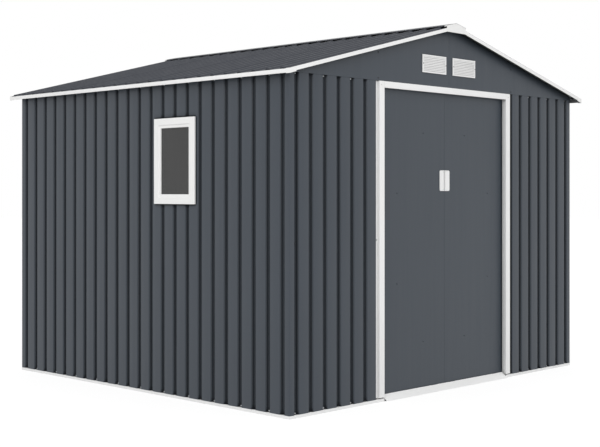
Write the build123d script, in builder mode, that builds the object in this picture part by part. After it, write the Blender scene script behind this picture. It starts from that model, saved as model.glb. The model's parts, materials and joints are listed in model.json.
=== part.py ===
"""Metal storage shed: ribbed steel walls, a low ribbed gable roof and two sliding doors."""

import math
import os

from build123d import *

os.makedirs("parts", exist_ok=True)

# Ribbed sheet, shared by walls and roof
sheet = 0.7
rib_pitch = 102.8
rib_width = 36.0
rib_floor = 16.0
rib_depth = 13.0
roof_rib_depth = 9.0
lap = 10.0
lap_clearance = 0.3
panel_ribs = 6
front_ribs = 25
side_ribs = 23

# Heights of the base, walls and roof
base_height = 16.0
wall_height = 1706.0
gable_lap = 16.0
roof_clearance = 4.8
roof_angle = 14.2

# Base rail and anchor holes
rail_sheet = 1.2
rail_flange = 46.0
rail_upstand = 45.0
anchor_radius = 5.0
anchor_inset = 31.0
anchor_spacing = 1800.0

# Inside rails and roof beams
rail_end_clearance = 60.0
top_rail_drop = 44.0
top_rail_shelf = 40.0
mid_rail_height = 861.0
mid_rail_depth = 40.0
mid_rail_flange = 25.0
beam_flange = 40.0
beam_drop = 45.0
beam_lip = 20.0
purlin_distance = 640.0

# Gable sheets and vents
gable_sheet = 0.8
gable_flange = 25.0
gable_seam = 0.3
vent_width = 213.0
vent_height = 100.0
vent_depth = 6.0
vent_border = 13.0
vent_distance = 138.0
vent_drop = 224.5
vent_slats = 8
vent_slat_sheet = 1.4
vent_slat_reach = 6.0
vent_hole_margin = 3.0

# Roof edge trims and ridge
eave_overhang = 52.0
trim_sheet = 1.0
trim_height = 23.5
trim_flange = 22.0
ridge_gap = 20.0
ridge_half_width = 80.0
ridge_flat = 18.0
ridge_lip = 6.0
end_cap_sheet = 1.2
end_cap_half_width = 68.0
end_cap_hood = 18.0
corner_eave_leg = 24.0
corner_verge_leg = 100.0

# Door frame
frame_sheet = 1.0
doorway_panels = 2
jamb_reach = 51.8
frame_face_width = 47.0
frame_proud = 11.0
frame_splay = 19.0
frame_foot = 4.0
frame_foot_gap = 6.0
frame_back_flange = 58.0
header_height = 34.0
header_back_flange = 28.0

# Sill and the two door tracks
sill_sheet = 1.2
sill_reach = 15.0
sill_lip = 3.0
sill_depth = 28.0
sill_top = 31.0
sill_end_clearance = 4.0
track_sheet = 1.2
track_end_clearance = 60.0
lower_track_setback = 30.0
lower_track_line = 42.0
lower_track_top = 24.0
upper_track_drop = 16.0
upper_track_height = 38.0
upper_track_depth = 66.0
upper_floor_lift = 8.0
upper_lip_line = 56.0
upper_lip_height = 12.0

# Doors, their stiffeners, slides and pulls
door_sheet = 0.8
door_setback = 33.0
door_depth = 18.0
door_bottom = 30.0
door_top_lap = 2.0
door_seam = 5.0
door_overlap = 24.0
stiffener_width = 60.0
stiffener_crown = 30.0
stiffener_places = (191.0, 420.0)
stiffener_end_clearance = 12.0
slide_length = 40.0
slide_edge_distance = 80.0
slide_clearance = 1.5
slide_seat = 0.3
hanger_inset = 7.0
hanger_head = 8.0
hanger_tongue_drop = 8.0
guide_inset = 3.0
guide_drop = 18.0
guide_roof = 4.0
guide_clearance = 0.4
pull_width = 42.0
pull_height = 117.0
pull_depth = 14.0
pull_middle = 1180.0
pull_corner = 10.0
pull_lip = 3.0
pull_rim = 7.0
pull_border = 5.0
pull_pocket = 10.0

# Window in the left wall
window_width = 340.0
window_height = 466.0
window_middle = 1283.0
window_pitch_share = 8.46
window_proud = 9.0
window_face = 38.0
window_rebate = 15.0
window_rebate_depth = 5.0
window_rebate_corner = 9.0
window_rebate_bevel = 3.0
spigot_wall = 8.0
spigot_depth = 18.0
spigot_clearance = 1.0
pane_sheet = 3.0
pane_setback = 2.0
pane_clearance = 0.2

overrun = 5.0

# Sizes that follow from the ones above
wall_width = front_ribs * rib_pitch
wall_depth = side_ribs * rib_pitch
left_x = -wall_width / 2
front_y = -wall_depth / 2
rib_back = rib_depth + sheet
wall_inner = rib_back + lap_clearance + sheet
roof_ribs = side_ribs + 1
roof_depth = roof_ribs * rib_pitch
roof_half_depth = roof_depth / 2
roof_run = wall_width / 2 + eave_overhang
slope = math.tan(math.radians(roof_angle))
slope_cosine = math.cos(math.radians(roof_angle))
slope_sine = math.sin(math.radians(roof_angle))
opening_half_width = doorway_panels * panel_ribs * rib_pitch / 2 - jamb_reach
wall_top = base_height + wall_height
gable_bottom = wall_top - gable_lap
peak_height = wall_top + roof_clearance + slope * wall_width / 2
upper_track_bottom = gable_bottom - upper_track_drop
upper_track_top = upper_track_bottom + upper_track_height
upper_track_floor = upper_track_bottom + upper_floor_lift
door_top = upper_track_bottom + door_top_lap
lap_step = sheet + lap_clearance
rib_crest = roof_rib_depth + sheet + lap_step


def roof_under(distance):
    """Height of the roof pans' underside at a distance from the ridge line."""
    return peak_height - slope * distance


def ribbed_outline(first_rib, last_rib, full_depth, plain_start=None, plain_end=None, end_step=lap_step):
    """Run and depth of a ribbed sheet's outer face, with lap lips on its first and last rib.

    A plain start or end is the run at which the sheet stops on the flat, past a whole rib.
    """
    points = [] if plain_start is None else [(plain_start, 0)]
    for rib in range(first_rib, last_rib + 1):
        centre = (rib + 1 / 2) * rib_pitch
        opens = rib > first_rib or plain_start is not None
        closes = rib < last_rib or plain_end is not None
        depth = full_depth if closes else full_depth + end_step
        if opens:
            points.append((centre - rib_width / 2, 0))
            points.append((centre - rib_floor / 2, depth))
        else:
            points.append((centre - lap / 2, depth))
        if closes:
            points.append((centre + rib_floor / 2, depth))
            points.append((centre + rib_width / 2, 0))
        else:
            points.append((centre + lap / 2, depth))
    return points if plain_end is None else points + [(plain_end, 0)]


corner_runs = (0, wall_depth, wall_depth + wall_width, 2 * wall_depth + wall_width)
perimeter = 2 * (wall_depth + wall_width)


def plan_point(run, depth):
    """Plan point at a run round the walls, from the front left corner by way of the back."""
    run = run % perimeter
    if run < corner_runs[1]:
        return (left_x + depth, front_y + run)
    if run < corner_runs[2]:
        return (left_x + run - corner_runs[1], -front_y - depth)
    if run < corner_runs[3]:
        return (-left_x - depth, -front_y - run + corner_runs[2])
    return (-left_x - run + corner_runs[3], front_y + depth)


def wall_points(panel, end_step=lap_step):
    """Plan points of one wall panel's outer face, bent where it passes a corner."""
    first_rib = panel * panel_ribs - 1
    points = ribbed_outline(first_rib, first_rib + panel_ribs, rib_depth, end_step=end_step)
    points += [(run, 0) for run in corner_runs if points[0][0] < run < points[-1][0]]
    return [plan_point(run, depth) for run, depth in sorted(points)]


def bent_sheet(plane, points, thickness, side):
    """Section of a sheet bent along the points, with its thickness on one side of them."""
    path = [Vector(*point) for point in points]
    turn = thickness if side == Side.LEFT else -thickness
    normals = [Vector(a.Y - b.Y, b.X - a.X).normalized() for a, b in zip(path, path[1:])]
    mitres = [(a + b) / (1 + a.dot(b)) for a, b in zip(normals, normals[1:])]
    far_side = [point + mitre * turn for point, mitre in zip(path, [normals[0], *mitres, normals[-1]])]
    with BuildSketch(plane) as section:
        Polygon(*path, *reversed(far_side), align=None)
    return section.sketch


def add_wall_panel(points):
    """Add one upright ribbed panel to the part being built."""
    section = bent_sheet(Plane.XY.offset(base_height), points, sheet, Side.RIGHT)
    extrude(section, amount=wall_height)


def across_plane(start):
    """Plane at a place across the width, for sections of depth from the front face and height."""
    return Plane(origin=(start, front_y, 0), x_dir=(0, 1, 0), z_dir=(1, 0, 0))


def along_plane(start):
    """Plane at a place along the depth, seen from the front, for sections of width and height."""
    return Plane(origin=(0, start, 0), x_dir=(1, 0, 0), z_dir=(0, -1, 0))


def save(builder, name):
    """Label a finished sub-part and write it to its own file."""
    builder.part.label = name
    export_step(builder.part, "parts/" + name + ".step")


# Base rails, mitred at the corners, with the front one cut down in the doorway
rail_section = [
    (rail_flange, 0),
    (0, 0),
    (0, base_height),
    (wall_inner, base_height),
    (wall_inner, rail_upstand),
]

with BuildPart() as base_rail_left:
    section = bent_sheet(along_plane(-front_y), [(left_x + u, z) for u, z in rail_section], rail_sheet, Side.RIGHT)
    extrude(section, amount=wall_depth)
    split(bisect_by=Plane(origin=(left_x, front_y, 0), z_dir=(-1, 1, 0)), keep=Keep.TOP)
    split(bisect_by=Plane(origin=(left_x, -front_y, 0), z_dir=(-1, -1, 0)), keep=Keep.TOP)
    with BuildSketch():
        with Locations((left_x + anchor_inset, 0)):
            with GridLocations(0, anchor_spacing, 1, 2):
                Circle(anchor_radius)
    extrude(amount=rail_sheet + overrun, both=True, mode=Mode.SUBTRACT)
save(base_rail_left, "base_rail_left")

with BuildPart() as base_rail_right:
    mirror(base_rail_left.part, about=Plane.YZ)
save(base_rail_right, "base_rail_right")

with BuildPart() as base_rail_whole:
    extrude(bent_sheet(across_plane(left_x), rail_section, rail_sheet, Side.RIGHT), amount=wall_width)
    split(bisect_by=Plane(origin=(left_x, front_y, 0), z_dir=(1, -1, 0)), keep=Keep.TOP)
    split(bisect_by=Plane(origin=(-left_x, front_y, 0), z_dir=(-1, -1, 0)), keep=Keep.TOP)

with BuildPart() as base_rail_back:
    mirror(base_rail_whole.part, about=Plane.XZ)
save(base_rail_back, "base_rail_back")

with BuildPart() as base_rail_front:
    add(base_rail_whole.part)
    with BuildSketch(Plane.XY.offset(rail_sheet)):
        with Locations((0, front_y)):
            Rectangle(2 * opening_half_width, 2 * rail_flange)
    extrude(amount=rail_upstand + overrun, mode=Mode.SUBTRACT)
save(base_rail_front, "base_rail_front")

# Wall panels of six ribs each, in their order round the plan from the front left corner
panel_order = [
    "corner_panel_front_left",
    "left_wall_window_panel",
    "left_wall_panel",
    "corner_panel_back_left",
    *["back_wall_panels"] * 4,
    "corner_panel_back_right",
    *["right_wall_panels"] * 2,
    "corner_panel_front_right",
    "front_wall_right",
    *["doorway"] * doorway_panels,
    "front_wall_left",
]
window_panel = panel_order.index("left_wall_window_panel")
last_panel = panel_order.index("front_wall_right")
panel_nodes = set(panel_order) - {"left_wall_window_panel", "front_wall_right", "doorway"}

for node in sorted(panel_nodes):
    with BuildPart() as wall_panels:
        for panel, name in enumerate(panel_order):
            if name == node:
                add_wall_panel(wall_points(panel))
    save(wall_panels, node)

with BuildPart() as front_wall_right:
    add_wall_panel(wall_points(last_panel, end_step=0))
save(front_wall_right, "front_wall_right")

window_centre = (front_y + window_pitch_share * rib_pitch, window_middle)
rebate_width = window_width - 2 * window_face
rebate_height = window_height - 2 * window_face
pane_width = rebate_width - 2 * window_rebate
pane_height = rebate_height - 2 * window_rebate
spigot_width = pane_width + 2 * spigot_wall
spigot_height = pane_height + 2 * spigot_wall

with BuildPart() as left_wall_window_panel:
    add_wall_panel(wall_points(window_panel))
    with BuildSketch(Plane.YZ.offset(left_x - overrun)):
        with Locations(window_centre):
            Rectangle(spigot_width + 2 * spigot_clearance, spigot_height + 2 * spigot_clearance)
    extrude(amount=wall_inner + 2 * overrun, mode=Mode.SUBTRACT)
save(left_wall_window_panel, "left_wall_window_panel")

# Window frame with a rebated face and a spigot through the wall
with BuildPart() as window_frame:
    with BuildSketch(Plane.YZ.offset(left_x)):
        with Locations(window_centre):
            Rectangle(window_width, window_height)
    extrude(amount=-window_proud)
    with BuildSketch(Plane.YZ.offset(left_x)):
        with Locations(window_centre):
            Rectangle(spigot_width, spigot_height)
    extrude(amount=spigot_depth)
    with BuildSketch(Plane.YZ.offset(left_x - window_proud)):
        with Locations(window_centre):
            RectangleRounded(rebate_width, rebate_height, window_rebate_corner)
    extrude(amount=window_rebate_depth, mode=Mode.SUBTRACT)
    with BuildSketch(Plane.YZ.offset(left_x - window_proud)):
        with Locations(window_centre):
            Rectangle(pane_width, pane_height)
    extrude(amount=window_proud + spigot_depth, mode=Mode.SUBTRACT)
    outer_face = window_frame.faces().sort_by(Axis.X)[0]
    chamfer(outer_face.inner_wires()[0].edges(), length=window_rebate_bevel)
save(window_frame, "window_frame")

with BuildPart() as window_pane:
    with BuildSketch(Plane.YZ.offset(left_x + pane_setback)):
        with Locations(window_centre):
            Rectangle(pane_width - 2 * pane_clearance, pane_height - 2 * pane_clearance)
    extrude(amount=pane_sheet)
save(window_pane, "window_pane")

# Gables in two halves, with a flange that carries the roof and a hole behind each vent
vent_middle = peak_height - vent_drop
vent_hole_width = vent_width - 2 * vent_border + 2 * vent_hole_margin
vent_hole_height = vent_height - 2 * vent_border + 2 * vent_hole_margin
flange_drop = gable_sheet / slope_cosine
seam = gable_seam / 2
gable_edge = wall_width / 2

with BuildPart() as front_gable:
    with BuildSketch(along_plane(front_y)):
        Polygon(
            (seam, gable_bottom),
            (gable_edge, gable_bottom),
            (gable_edge, roof_under(gable_edge)),
            (seam, roof_under(seam)),
            align=None,
        )
        with Locations((vent_distance, vent_middle)):
            Rectangle(vent_hole_width, vent_hole_height, mode=Mode.SUBTRACT)
    extrude(amount=gable_sheet)
    with BuildSketch(along_plane(front_y)):
        Polygon(
            (seam, roof_under(seam) - flange_drop),
            (gable_edge, roof_under(gable_edge) - flange_drop),
            (gable_edge, roof_under(gable_edge)),
            (seam, roof_under(seam)),
            align=None,
        )
    extrude(amount=-gable_flange)
    mirror(about=Plane.YZ)
save(front_gable, "front_gable")

with BuildPart() as back_gable:
    mirror(front_gable.part, about=Plane.XZ)
save(back_gable, "back_gable")

# Louvred vents on both gables
slat_pitch = (vent_height - 2 * vent_border) / vent_slats
vent_half_width = vent_width / 2 - vent_border
slat_front = -gable_sheet - vent_depth + vent_slat_sheet

with BuildPart() as front_vents:
    with BuildSketch(along_plane(front_y - gable_sheet)):
        with Locations((vent_distance, vent_middle)):
            Rectangle(vent_width, vent_height)
            Rectangle(2 * vent_half_width, vent_height - 2 * vent_border, mode=Mode.SUBTRACT)
    extrude(amount=vent_depth)
    with BuildSketch(across_plane(vent_distance - vent_half_width)):
        for slat in range(vent_slats):
            foot = vent_middle - vent_height / 2 + vent_border + slat * slat_pitch
            Polygon(
                (vent_slat_reach, foot + slat_pitch),
                (vent_slat_reach, foot + slat_pitch - vent_slat_sheet),
                (slat_front, foot - vent_slat_sheet),
                (slat_front, foot),
                align=None,
            )
    extrude(amount=2 * vent_half_width)
    mirror(about=Plane.YZ)
save(front_vents, "front_vents")

with BuildPart() as back_vents:
    mirror(front_vents.part, about=Plane.XZ)
save(back_vents, "back_vents")

# Roof panels: shallower ribs than the walls', turned up, lapped on the ribs
eave_setback = rib_crest * slope_sine


def slope_plane(distance):
    """Plane across the left slope at a distance from the ridge line, looking up to the ridge."""
    corner = (-distance, -roof_half_depth, roof_under(distance))
    return Plane(origin=corner, x_dir=(0, 1, 0), z_dir=(slope_cosine, 0, slope_sine))


sheet_start = slope_plane(roof_run - eave_setback)
slope_length = (roof_run - eave_setback - ridge_gap) / slope_cosine
last_roof_rib = roof_ribs - 1
roof_joints = list(range(panel_ribs - 1, last_roof_rib, panel_ribs))

with BuildPart() as left_roof_panels:
    for first, last in zip([None] + roof_joints, roof_joints + [None]):
        outline = ribbed_outline(
            0 if first is None else first,
            last_roof_rib if last is None else last,
            roof_rib_depth,
            plain_start=0 if first is None else None,
            plain_end=roof_depth if last is None else None,
        )
        extrude(bent_sheet(sheet_start, outline, sheet, Side.LEFT), amount=slope_length)
save(left_roof_panels, "left_roof_panels")

with BuildPart() as right_roof_panels:
    add(left_roof_panels.part, rotation=(0, 0, 180))
save(right_roof_panels, "right_roof_panels")

# Verge trims: an angle over the roof's edge, down each slope
trim_top = sheet + trim_sheet
verge_section = [
    (-trim_sheet, trim_top),
    (-trim_sheet, trim_top - trim_height),
    (0, trim_top - trim_height),
    (0, sheet),
    (trim_flange, sheet),
    (trim_flange, trim_top),
]

with BuildPart() as front_verge_trims:
    with BuildSketch(slope_plane(roof_run + trim_height)):
        Polygon(*verge_section, align=None)
    extrude(amount=(roof_run + 2 * trim_height) / slope_cosine)
    split(bisect_by=Plane.YZ.offset(-seam), keep=Keep.BOTTOM)
    split(bisect_by=Plane.YZ.offset(-roof_run), keep=Keep.TOP)
    mirror(about=Plane.YZ)
save(front_verge_trims, "front_verge_trims")

with BuildPart() as back_verge_trims:
    mirror(front_verge_trims.part, about=Plane.XZ)
save(back_verge_trims, "back_verge_trims")

# Eave trims: an upright face under the roof's edge, with a flange that follows the slope
eave_bottom = roof_under(roof_run) - trim_height
eave_section = [
    (-roof_run, eave_bottom),
    (-roof_run, roof_under(roof_run)),
    (-roof_run + trim_flange, roof_under(roof_run - trim_flange)),
]

with BuildPart() as eave_trims:
    section = bent_sheet(along_plane(roof_half_depth), eave_section, trim_sheet, Side.RIGHT)
    extrude(section, amount=roof_depth)
    mirror(about=Plane.YZ)
save(eave_trims, "eave_trims")

# Corner caps that close the four meetings of eave and verge trim
cap_plane = along_plane(-roof_half_depth - trim_sheet)
verge_top = trim_top / slope_cosine
verge_bottom = (trim_top - trim_height) / slope_cosine
cap_leg_end = roof_run - corner_verge_leg
cap_height = roof_under(roof_run) + verge_top - eave_bottom

with BuildPart() as roof_corner_caps:
    with BuildSketch(cap_plane):
        Polygon(
            (-roof_run, roof_under(roof_run) + verge_top),
            (-roof_run, eave_bottom),
            (-cap_leg_end, roof_under(cap_leg_end) + verge_bottom),
            (-cap_leg_end, roof_under(cap_leg_end) + verge_top),
            align=None,
        )
    extrude(amount=end_cap_sheet)
    with BuildSketch(Plane.YZ.offset(-roof_run)):
        with Locations((-roof_half_depth - trim_sheet - end_cap_sheet, eave_bottom)):
            Rectangle(
                corner_eave_leg + trim_sheet + end_cap_sheet,
                cap_height,
                align=(Align.MIN, Align.MIN),
            )
    extrude(amount=-end_cap_sheet)
    mirror(about=Plane.YZ)
    mirror(about=Plane.XZ)
save(roof_corner_caps, "roof_corner_caps")


def crest_top(distance):
    """Height of the roof ribs' crests at a distance from the ridge line."""
    return roof_under(distance) + rib_crest / slope_cosine


def ridge_outline(half_width, lift):
    """Width and height of a folded ridge sheet's underside, lifted off the rib crests."""
    return [
        (-half_width, crest_top(half_width) + lift),
        (-ridge_flat, crest_top(ridge_flat) + lift),
        (ridge_flat, crest_top(ridge_flat) + lift),
        (half_width, crest_top(half_width) + lift),
    ]


# Ridge cap whose lips stand on the rib crests, and its two end caps
ridge_foot = crest_top(ridge_half_width)
ridge_section = [
    (-ridge_half_width, ridge_foot),
    *ridge_outline(ridge_half_width, ridge_lip),
    (ridge_half_width, ridge_foot),
]

with BuildPart() as ridge_cap:
    section = bent_sheet(along_plane(roof_half_depth), ridge_section, sheet, Side.LEFT)
    extrude(section, amount=roof_depth)
save(ridge_cap, "ridge_cap")

hood_outline = ridge_outline(end_cap_half_width, ridge_lip + sheet / slope_cosine)

with BuildPart() as ridge_end_caps:
    with BuildSketch(cap_plane):
        Polygon(
            (-end_cap_half_width, roof_under(end_cap_half_width) + verge_bottom),
            (end_cap_half_width, roof_under(end_cap_half_width) + verge_bottom),
            *reversed(hood_outline),
            align=None,
        )
    extrude(amount=end_cap_sheet)
    section = bent_sheet(cap_plane.offset(end_cap_sheet), hood_outline, end_cap_sheet, Side.LEFT)
    extrude(section, amount=-end_cap_hood)
    mirror(about=Plane.XZ)
save(ridge_end_caps, "ridge_end_caps")

# Rails along the tops of the side and back walls
side_rail_length = wall_depth - 2 * gable_flange - 2 * gable_seam
back_rail_length = wall_width - 2 * rail_end_clearance
side_top = wall_width / 2 - wall_inner
side_rail_section = [
    (-side_top, roof_under(side_top) - top_rail_drop),
    (-side_top, roof_under(side_top)),
    (-side_top + top_rail_shelf, roof_under(side_top - top_rail_shelf)),
]
back_rail_section = [
    (wall_inner, upper_track_top - top_rail_drop),
    (wall_inner, upper_track_top),
    (wall_inner + top_rail_shelf, upper_track_top),
]

with BuildPart() as wall_top_rails:
    section = bent_sheet(along_plane(side_rail_length / 2), side_rail_section, rail_sheet, Side.RIGHT)
    extrude(section, amount=side_rail_length)
    mirror(about=Plane.YZ)
    section = bent_sheet(across_plane(-back_rail_length / 2), back_rail_section, rail_sheet, Side.RIGHT)
    back_rail = extrude(section, amount=back_rail_length, mode=Mode.PRIVATE)
    mirror(back_rail, about=Plane.XZ)
save(wall_top_rails, "wall_top_rails")

# Rails at mid height on the side and back walls, open to the room
mid_rail_section = [
    (wall_inner + mid_rail_flange, mid_rail_height - mid_rail_depth / 2),
    (wall_inner, mid_rail_height - mid_rail_depth / 2),
    (wall_inner, mid_rail_height + mid_rail_depth / 2),
    (wall_inner + mid_rail_flange, mid_rail_height + mid_rail_depth / 2),
]
side_mid_section = [(left_x + u, z) for u, z in mid_rail_section]
side_mid_length = wall_depth - 2 * rail_end_clearance

with BuildPart() as wall_mid_rails:
    section = bent_sheet(along_plane(side_mid_length / 2), side_mid_section, rail_sheet, Side.RIGHT)
    extrude(section, amount=side_mid_length)
    mirror(about=Plane.YZ)
    section = bent_sheet(across_plane(-back_rail_length / 2), mid_rail_section, rail_sheet, Side.RIGHT)
    back_rail = extrude(section, amount=back_rail_length, mode=Mode.PRIVATE)
    mirror(back_rail, about=Plane.XZ)
save(wall_mid_rails, "wall_mid_rails")


def beam_top(distance):
    """Height of the roof beams' tops, under the gables' flanges."""
    return roof_under(distance) - flange_drop


# Ridge beam and one purlin under each slope, from gable to gable
beam_length = wall_depth - 2 * gable_seam
purlin_outer = purlin_distance + beam_flange
purlin_bottom = beam_top(purlin_outer) - beam_drop
purlin_section = [
    (purlin_distance, beam_top(purlin_distance)),
    (purlin_outer, beam_top(purlin_outer)),
    (purlin_outer, purlin_bottom),
    (purlin_outer - beam_lip, purlin_bottom),
]
ridge_beam_section = [
    (-beam_flange, beam_top(beam_flange)),
    (0, beam_top(0)),
    (beam_flange, beam_top(beam_flange)),
]

with BuildPart() as roof_beams:
    section = bent_sheet(along_plane(beam_length / 2), purlin_section, rail_sheet, Side.RIGHT)
    extrude(section, amount=beam_length)
    mirror(about=Plane.YZ)
    section = bent_sheet(along_plane(beam_length / 2), ridge_beam_section, rail_sheet, Side.RIGHT)
    extrude(section, amount=beam_length)
    with BuildSketch(along_plane(beam_length / 2)):
        with Locations((0, beam_top(0) - rail_sheet)):
            Rectangle(rail_sheet, beam_drop, align=(Align.CENTER, Align.MAX))
    extrude(amount=beam_length)
save(roof_beams, "roof_beams")

# Door frame: two jambs with a splayed outer edge, and a header between them
face_outer = opening_half_width + frame_face_width
frame_back = rib_back + frame_sheet
frame_bottom = base_height + frame_foot_gap
jamb_section = [
    (face_outer + frame_splay + frame_foot, -frame_sheet),
    (face_outer + frame_splay, -frame_sheet),
    (face_outer, -frame_proud),
    (opening_half_width, -frame_proud),
    (opening_half_width, frame_back),
    (opening_half_width + frame_back_flange, frame_back),
]
header_bottom = gable_bottom - header_height
header_section = [
    (0, gable_bottom),
    (-frame_proud, gable_bottom),
    (-frame_proud, header_bottom),
    (frame_back, header_bottom),
    (frame_back, header_bottom + header_back_flange),
]

with BuildPart() as door_jamb_right:
    section = bent_sheet(Plane(origin=(0, front_y, frame_bottom)), jamb_section, frame_sheet, Side.RIGHT)
    extrude(section, amount=gable_bottom - frame_bottom)
save(door_jamb_right, "door_jamb_right")

with BuildPart() as door_jamb_left:
    mirror(door_jamb_right.part, about=Plane.YZ)
save(door_jamb_left, "door_jamb_left")

with BuildPart() as door_header:
    section = bent_sheet(across_plane(-opening_half_width), header_section, frame_sheet, Side.LEFT)
    extrude(section, amount=2 * opening_half_width)
save(door_header, "door_header")

# Sloping sill in the doorway
sill_half_length = opening_half_width - sill_end_clearance
sill_section = [
    (-sill_reach, 0),
    (-sill_reach, sill_lip),
    (sill_depth, sill_top),
    (sill_depth, rail_sheet),
]

with BuildPart() as door_sill:
    section = bent_sheet(across_plane(-sill_half_length), sill_section, sill_sheet, Side.RIGHT)
    extrude(section, amount=2 * sill_half_length)
save(door_sill, "door_sill")

# Tracks behind the front wall: a fin below and a hooked rail above
track_half_length = wall_width / 2 - track_end_clearance
lower_track_back = lower_track_line + track_sheet
lower_track_section = [
    (lower_track_setback, rail_sheet),
    (lower_track_back, rail_sheet),
    (lower_track_back, lower_track_top),
]
upper_lip_top = upper_track_floor + upper_lip_height
upper_track_section = [
    (frame_back, upper_track_bottom),
    (frame_back, upper_track_top),
    (upper_track_depth, upper_track_top),
    (upper_track_depth, upper_track_floor),
    (upper_lip_line, upper_track_floor),
    (upper_lip_line, upper_lip_top),
]

with BuildPart() as lower_door_track:
    section = bent_sheet(across_plane(-track_half_length), lower_track_section, track_sheet, Side.LEFT)
    extrude(section, amount=2 * track_half_length)
save(lower_door_track, "lower_door_track")

with BuildPart() as upper_door_track:
    section = bent_sheet(across_plane(-track_half_length), upper_track_section, track_sheet, Side.RIGHT)
    extrude(section, amount=2 * track_half_length)
save(upper_door_track, "upper_door_track")

# Right door: a pan open at the back, its stiffeners, slides and pull
door_inner = door_seam / 2
door_outer = opening_half_width + door_overlap
door_width = door_outer - door_inner
door_height = door_top - door_bottom
door_centre = ((door_inner + door_outer) / 2, (door_bottom + door_top) / 2)
door_face = along_plane(front_y + door_setback)
door_back = door_setback + door_depth

with BuildPart() as right_door:
    with BuildSketch(door_face):
        with Locations(door_centre):
            Rectangle(door_width, door_height)
    extrude(amount=-door_depth)
    with BuildSketch(door_face.offset(-door_sheet)):
        with Locations(door_centre):
            Rectangle(door_width - 2 * door_sheet, door_height - 2 * door_sheet)
    extrude(amount=-door_depth, mode=Mode.SUBTRACT)
save(right_door, "right_door")


def stiffener_section(place):
    """Hat section of a stiffener behind the door's face, from its foot over its crown."""
    return [
        (place - stiffener_width / 2, door_sheet + door_sheet),
        (place - stiffener_crown / 2, door_sheet + door_sheet),
        (place - stiffener_crown / 2, door_depth),
        (place + stiffener_crown / 2, door_depth),
        (place + stiffener_crown / 2, door_sheet + door_sheet),
        (place + stiffener_width / 2, door_sheet + door_sheet),
    ]


stiffener_plane = Plane(origin=(0, front_y + door_setback, door_bottom + stiffener_end_clearance))

with BuildPart() as right_door_stiffeners:
    for place in stiffener_places:
        section = bent_sheet(stiffener_plane, stiffener_section(place), door_sheet, Side.RIGHT)
        extrude(section, amount=door_height - 2 * stiffener_end_clearance)
save(right_door_stiffeners, "right_door_stiffeners")

hanger_front = door_setback + hanger_inset
hanger_stem = upper_lip_line - slide_clearance
hanger_tongue = upper_lip_line + track_sheet + slide_clearance
hanger_end = upper_track_depth - track_sheet - slide_clearance
hanger_seat = upper_lip_top + slide_seat
hanger_section = [
    (hanger_front, door_top),
    (hanger_stem, door_top),
    (hanger_stem, hanger_seat),
    (hanger_tongue, hanger_seat),
    (hanger_tongue, hanger_seat - hanger_tongue_drop),
    (hanger_end, hanger_seat - hanger_tongue_drop),
    (hanger_end, hanger_seat + hanger_head),
    (hanger_front, hanger_seat + hanger_head),
]
guide_front = door_setback + guide_inset
guide_back = door_back - guide_inset
guide_bottom = door_bottom - guide_drop
slot_front = lower_track_line - guide_clearance
slot_back = lower_track_back + guide_clearance
slot_top = door_bottom - guide_roof
guide_section = [
    (guide_front, door_bottom),
    (guide_front, guide_bottom),
    (slot_front, guide_bottom),
    (slot_front, slot_top),
    (slot_back, slot_top),
    (slot_back, guide_bottom),
    (guide_back, guide_bottom),
    (guide_back, door_bottom),
]
slide_places = (door_inner + slide_edge_distance, door_outer - slide_edge_distance)

with BuildPart() as right_door_slides:
    for place in slide_places:
        with BuildSketch(across_plane(place - slide_length / 2)):
            Polygon(*hanger_section, align=None)
            Polygon(*guide_section, align=None)
        extrude(amount=slide_length)
save(right_door_slides, "right_door_slides")

pull_centre = (door_inner + pull_width / 2, pull_middle)
pull_front = front_y + door_setback - pull_depth
pull_foot = Plane.XY.offset(pull_middle - pull_height / 2 + pull_border)
pull_ramp_end = door_inner + pull_width - pull_rim

with BuildPart() as right_door_pull:
    with BuildSketch(door_face) as pull_outline:
        with Locations(pull_centre):
            Rectangle(pull_width, pull_height)
        fillet(pull_outline.vertices().group_by(Axis.X)[-1], pull_corner)
    extrude(amount=pull_depth)
    with BuildSketch(pull_foot):
        Polygon(
            (door_inner + pull_lip, pull_front - overrun),
            (pull_ramp_end, pull_front - overrun),
            (pull_ramp_end, pull_front),
            (door_inner + pull_lip, pull_front + pull_pocket),
            align=None,
        )
    extrude(amount=pull_height - 2 * pull_border, mode=Mode.SUBTRACT)
save(right_door_pull, "right_door_pull")

# Left door: the right one mirrored
right_door_parts = {
    "left_door": right_door,
    "left_door_stiffeners": right_door_stiffeners,
    "left_door_slides": right_door_slides,
    "left_door_pull": right_door_pull,
}
for node, source in right_door_parts.items():
    with BuildPart() as left_copy:
        mirror(source.part, about=Plane.YZ)
    save(left_copy, node)
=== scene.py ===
"""Looks of the metal storage shed: finishes, rounded sheets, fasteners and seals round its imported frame."""

import json
import logging
import math
from collections.abc import Callable
from dataclasses import dataclass
from enum import Enum

import bmesh
import bpy
from mathutils import Matrix, Vector


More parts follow.
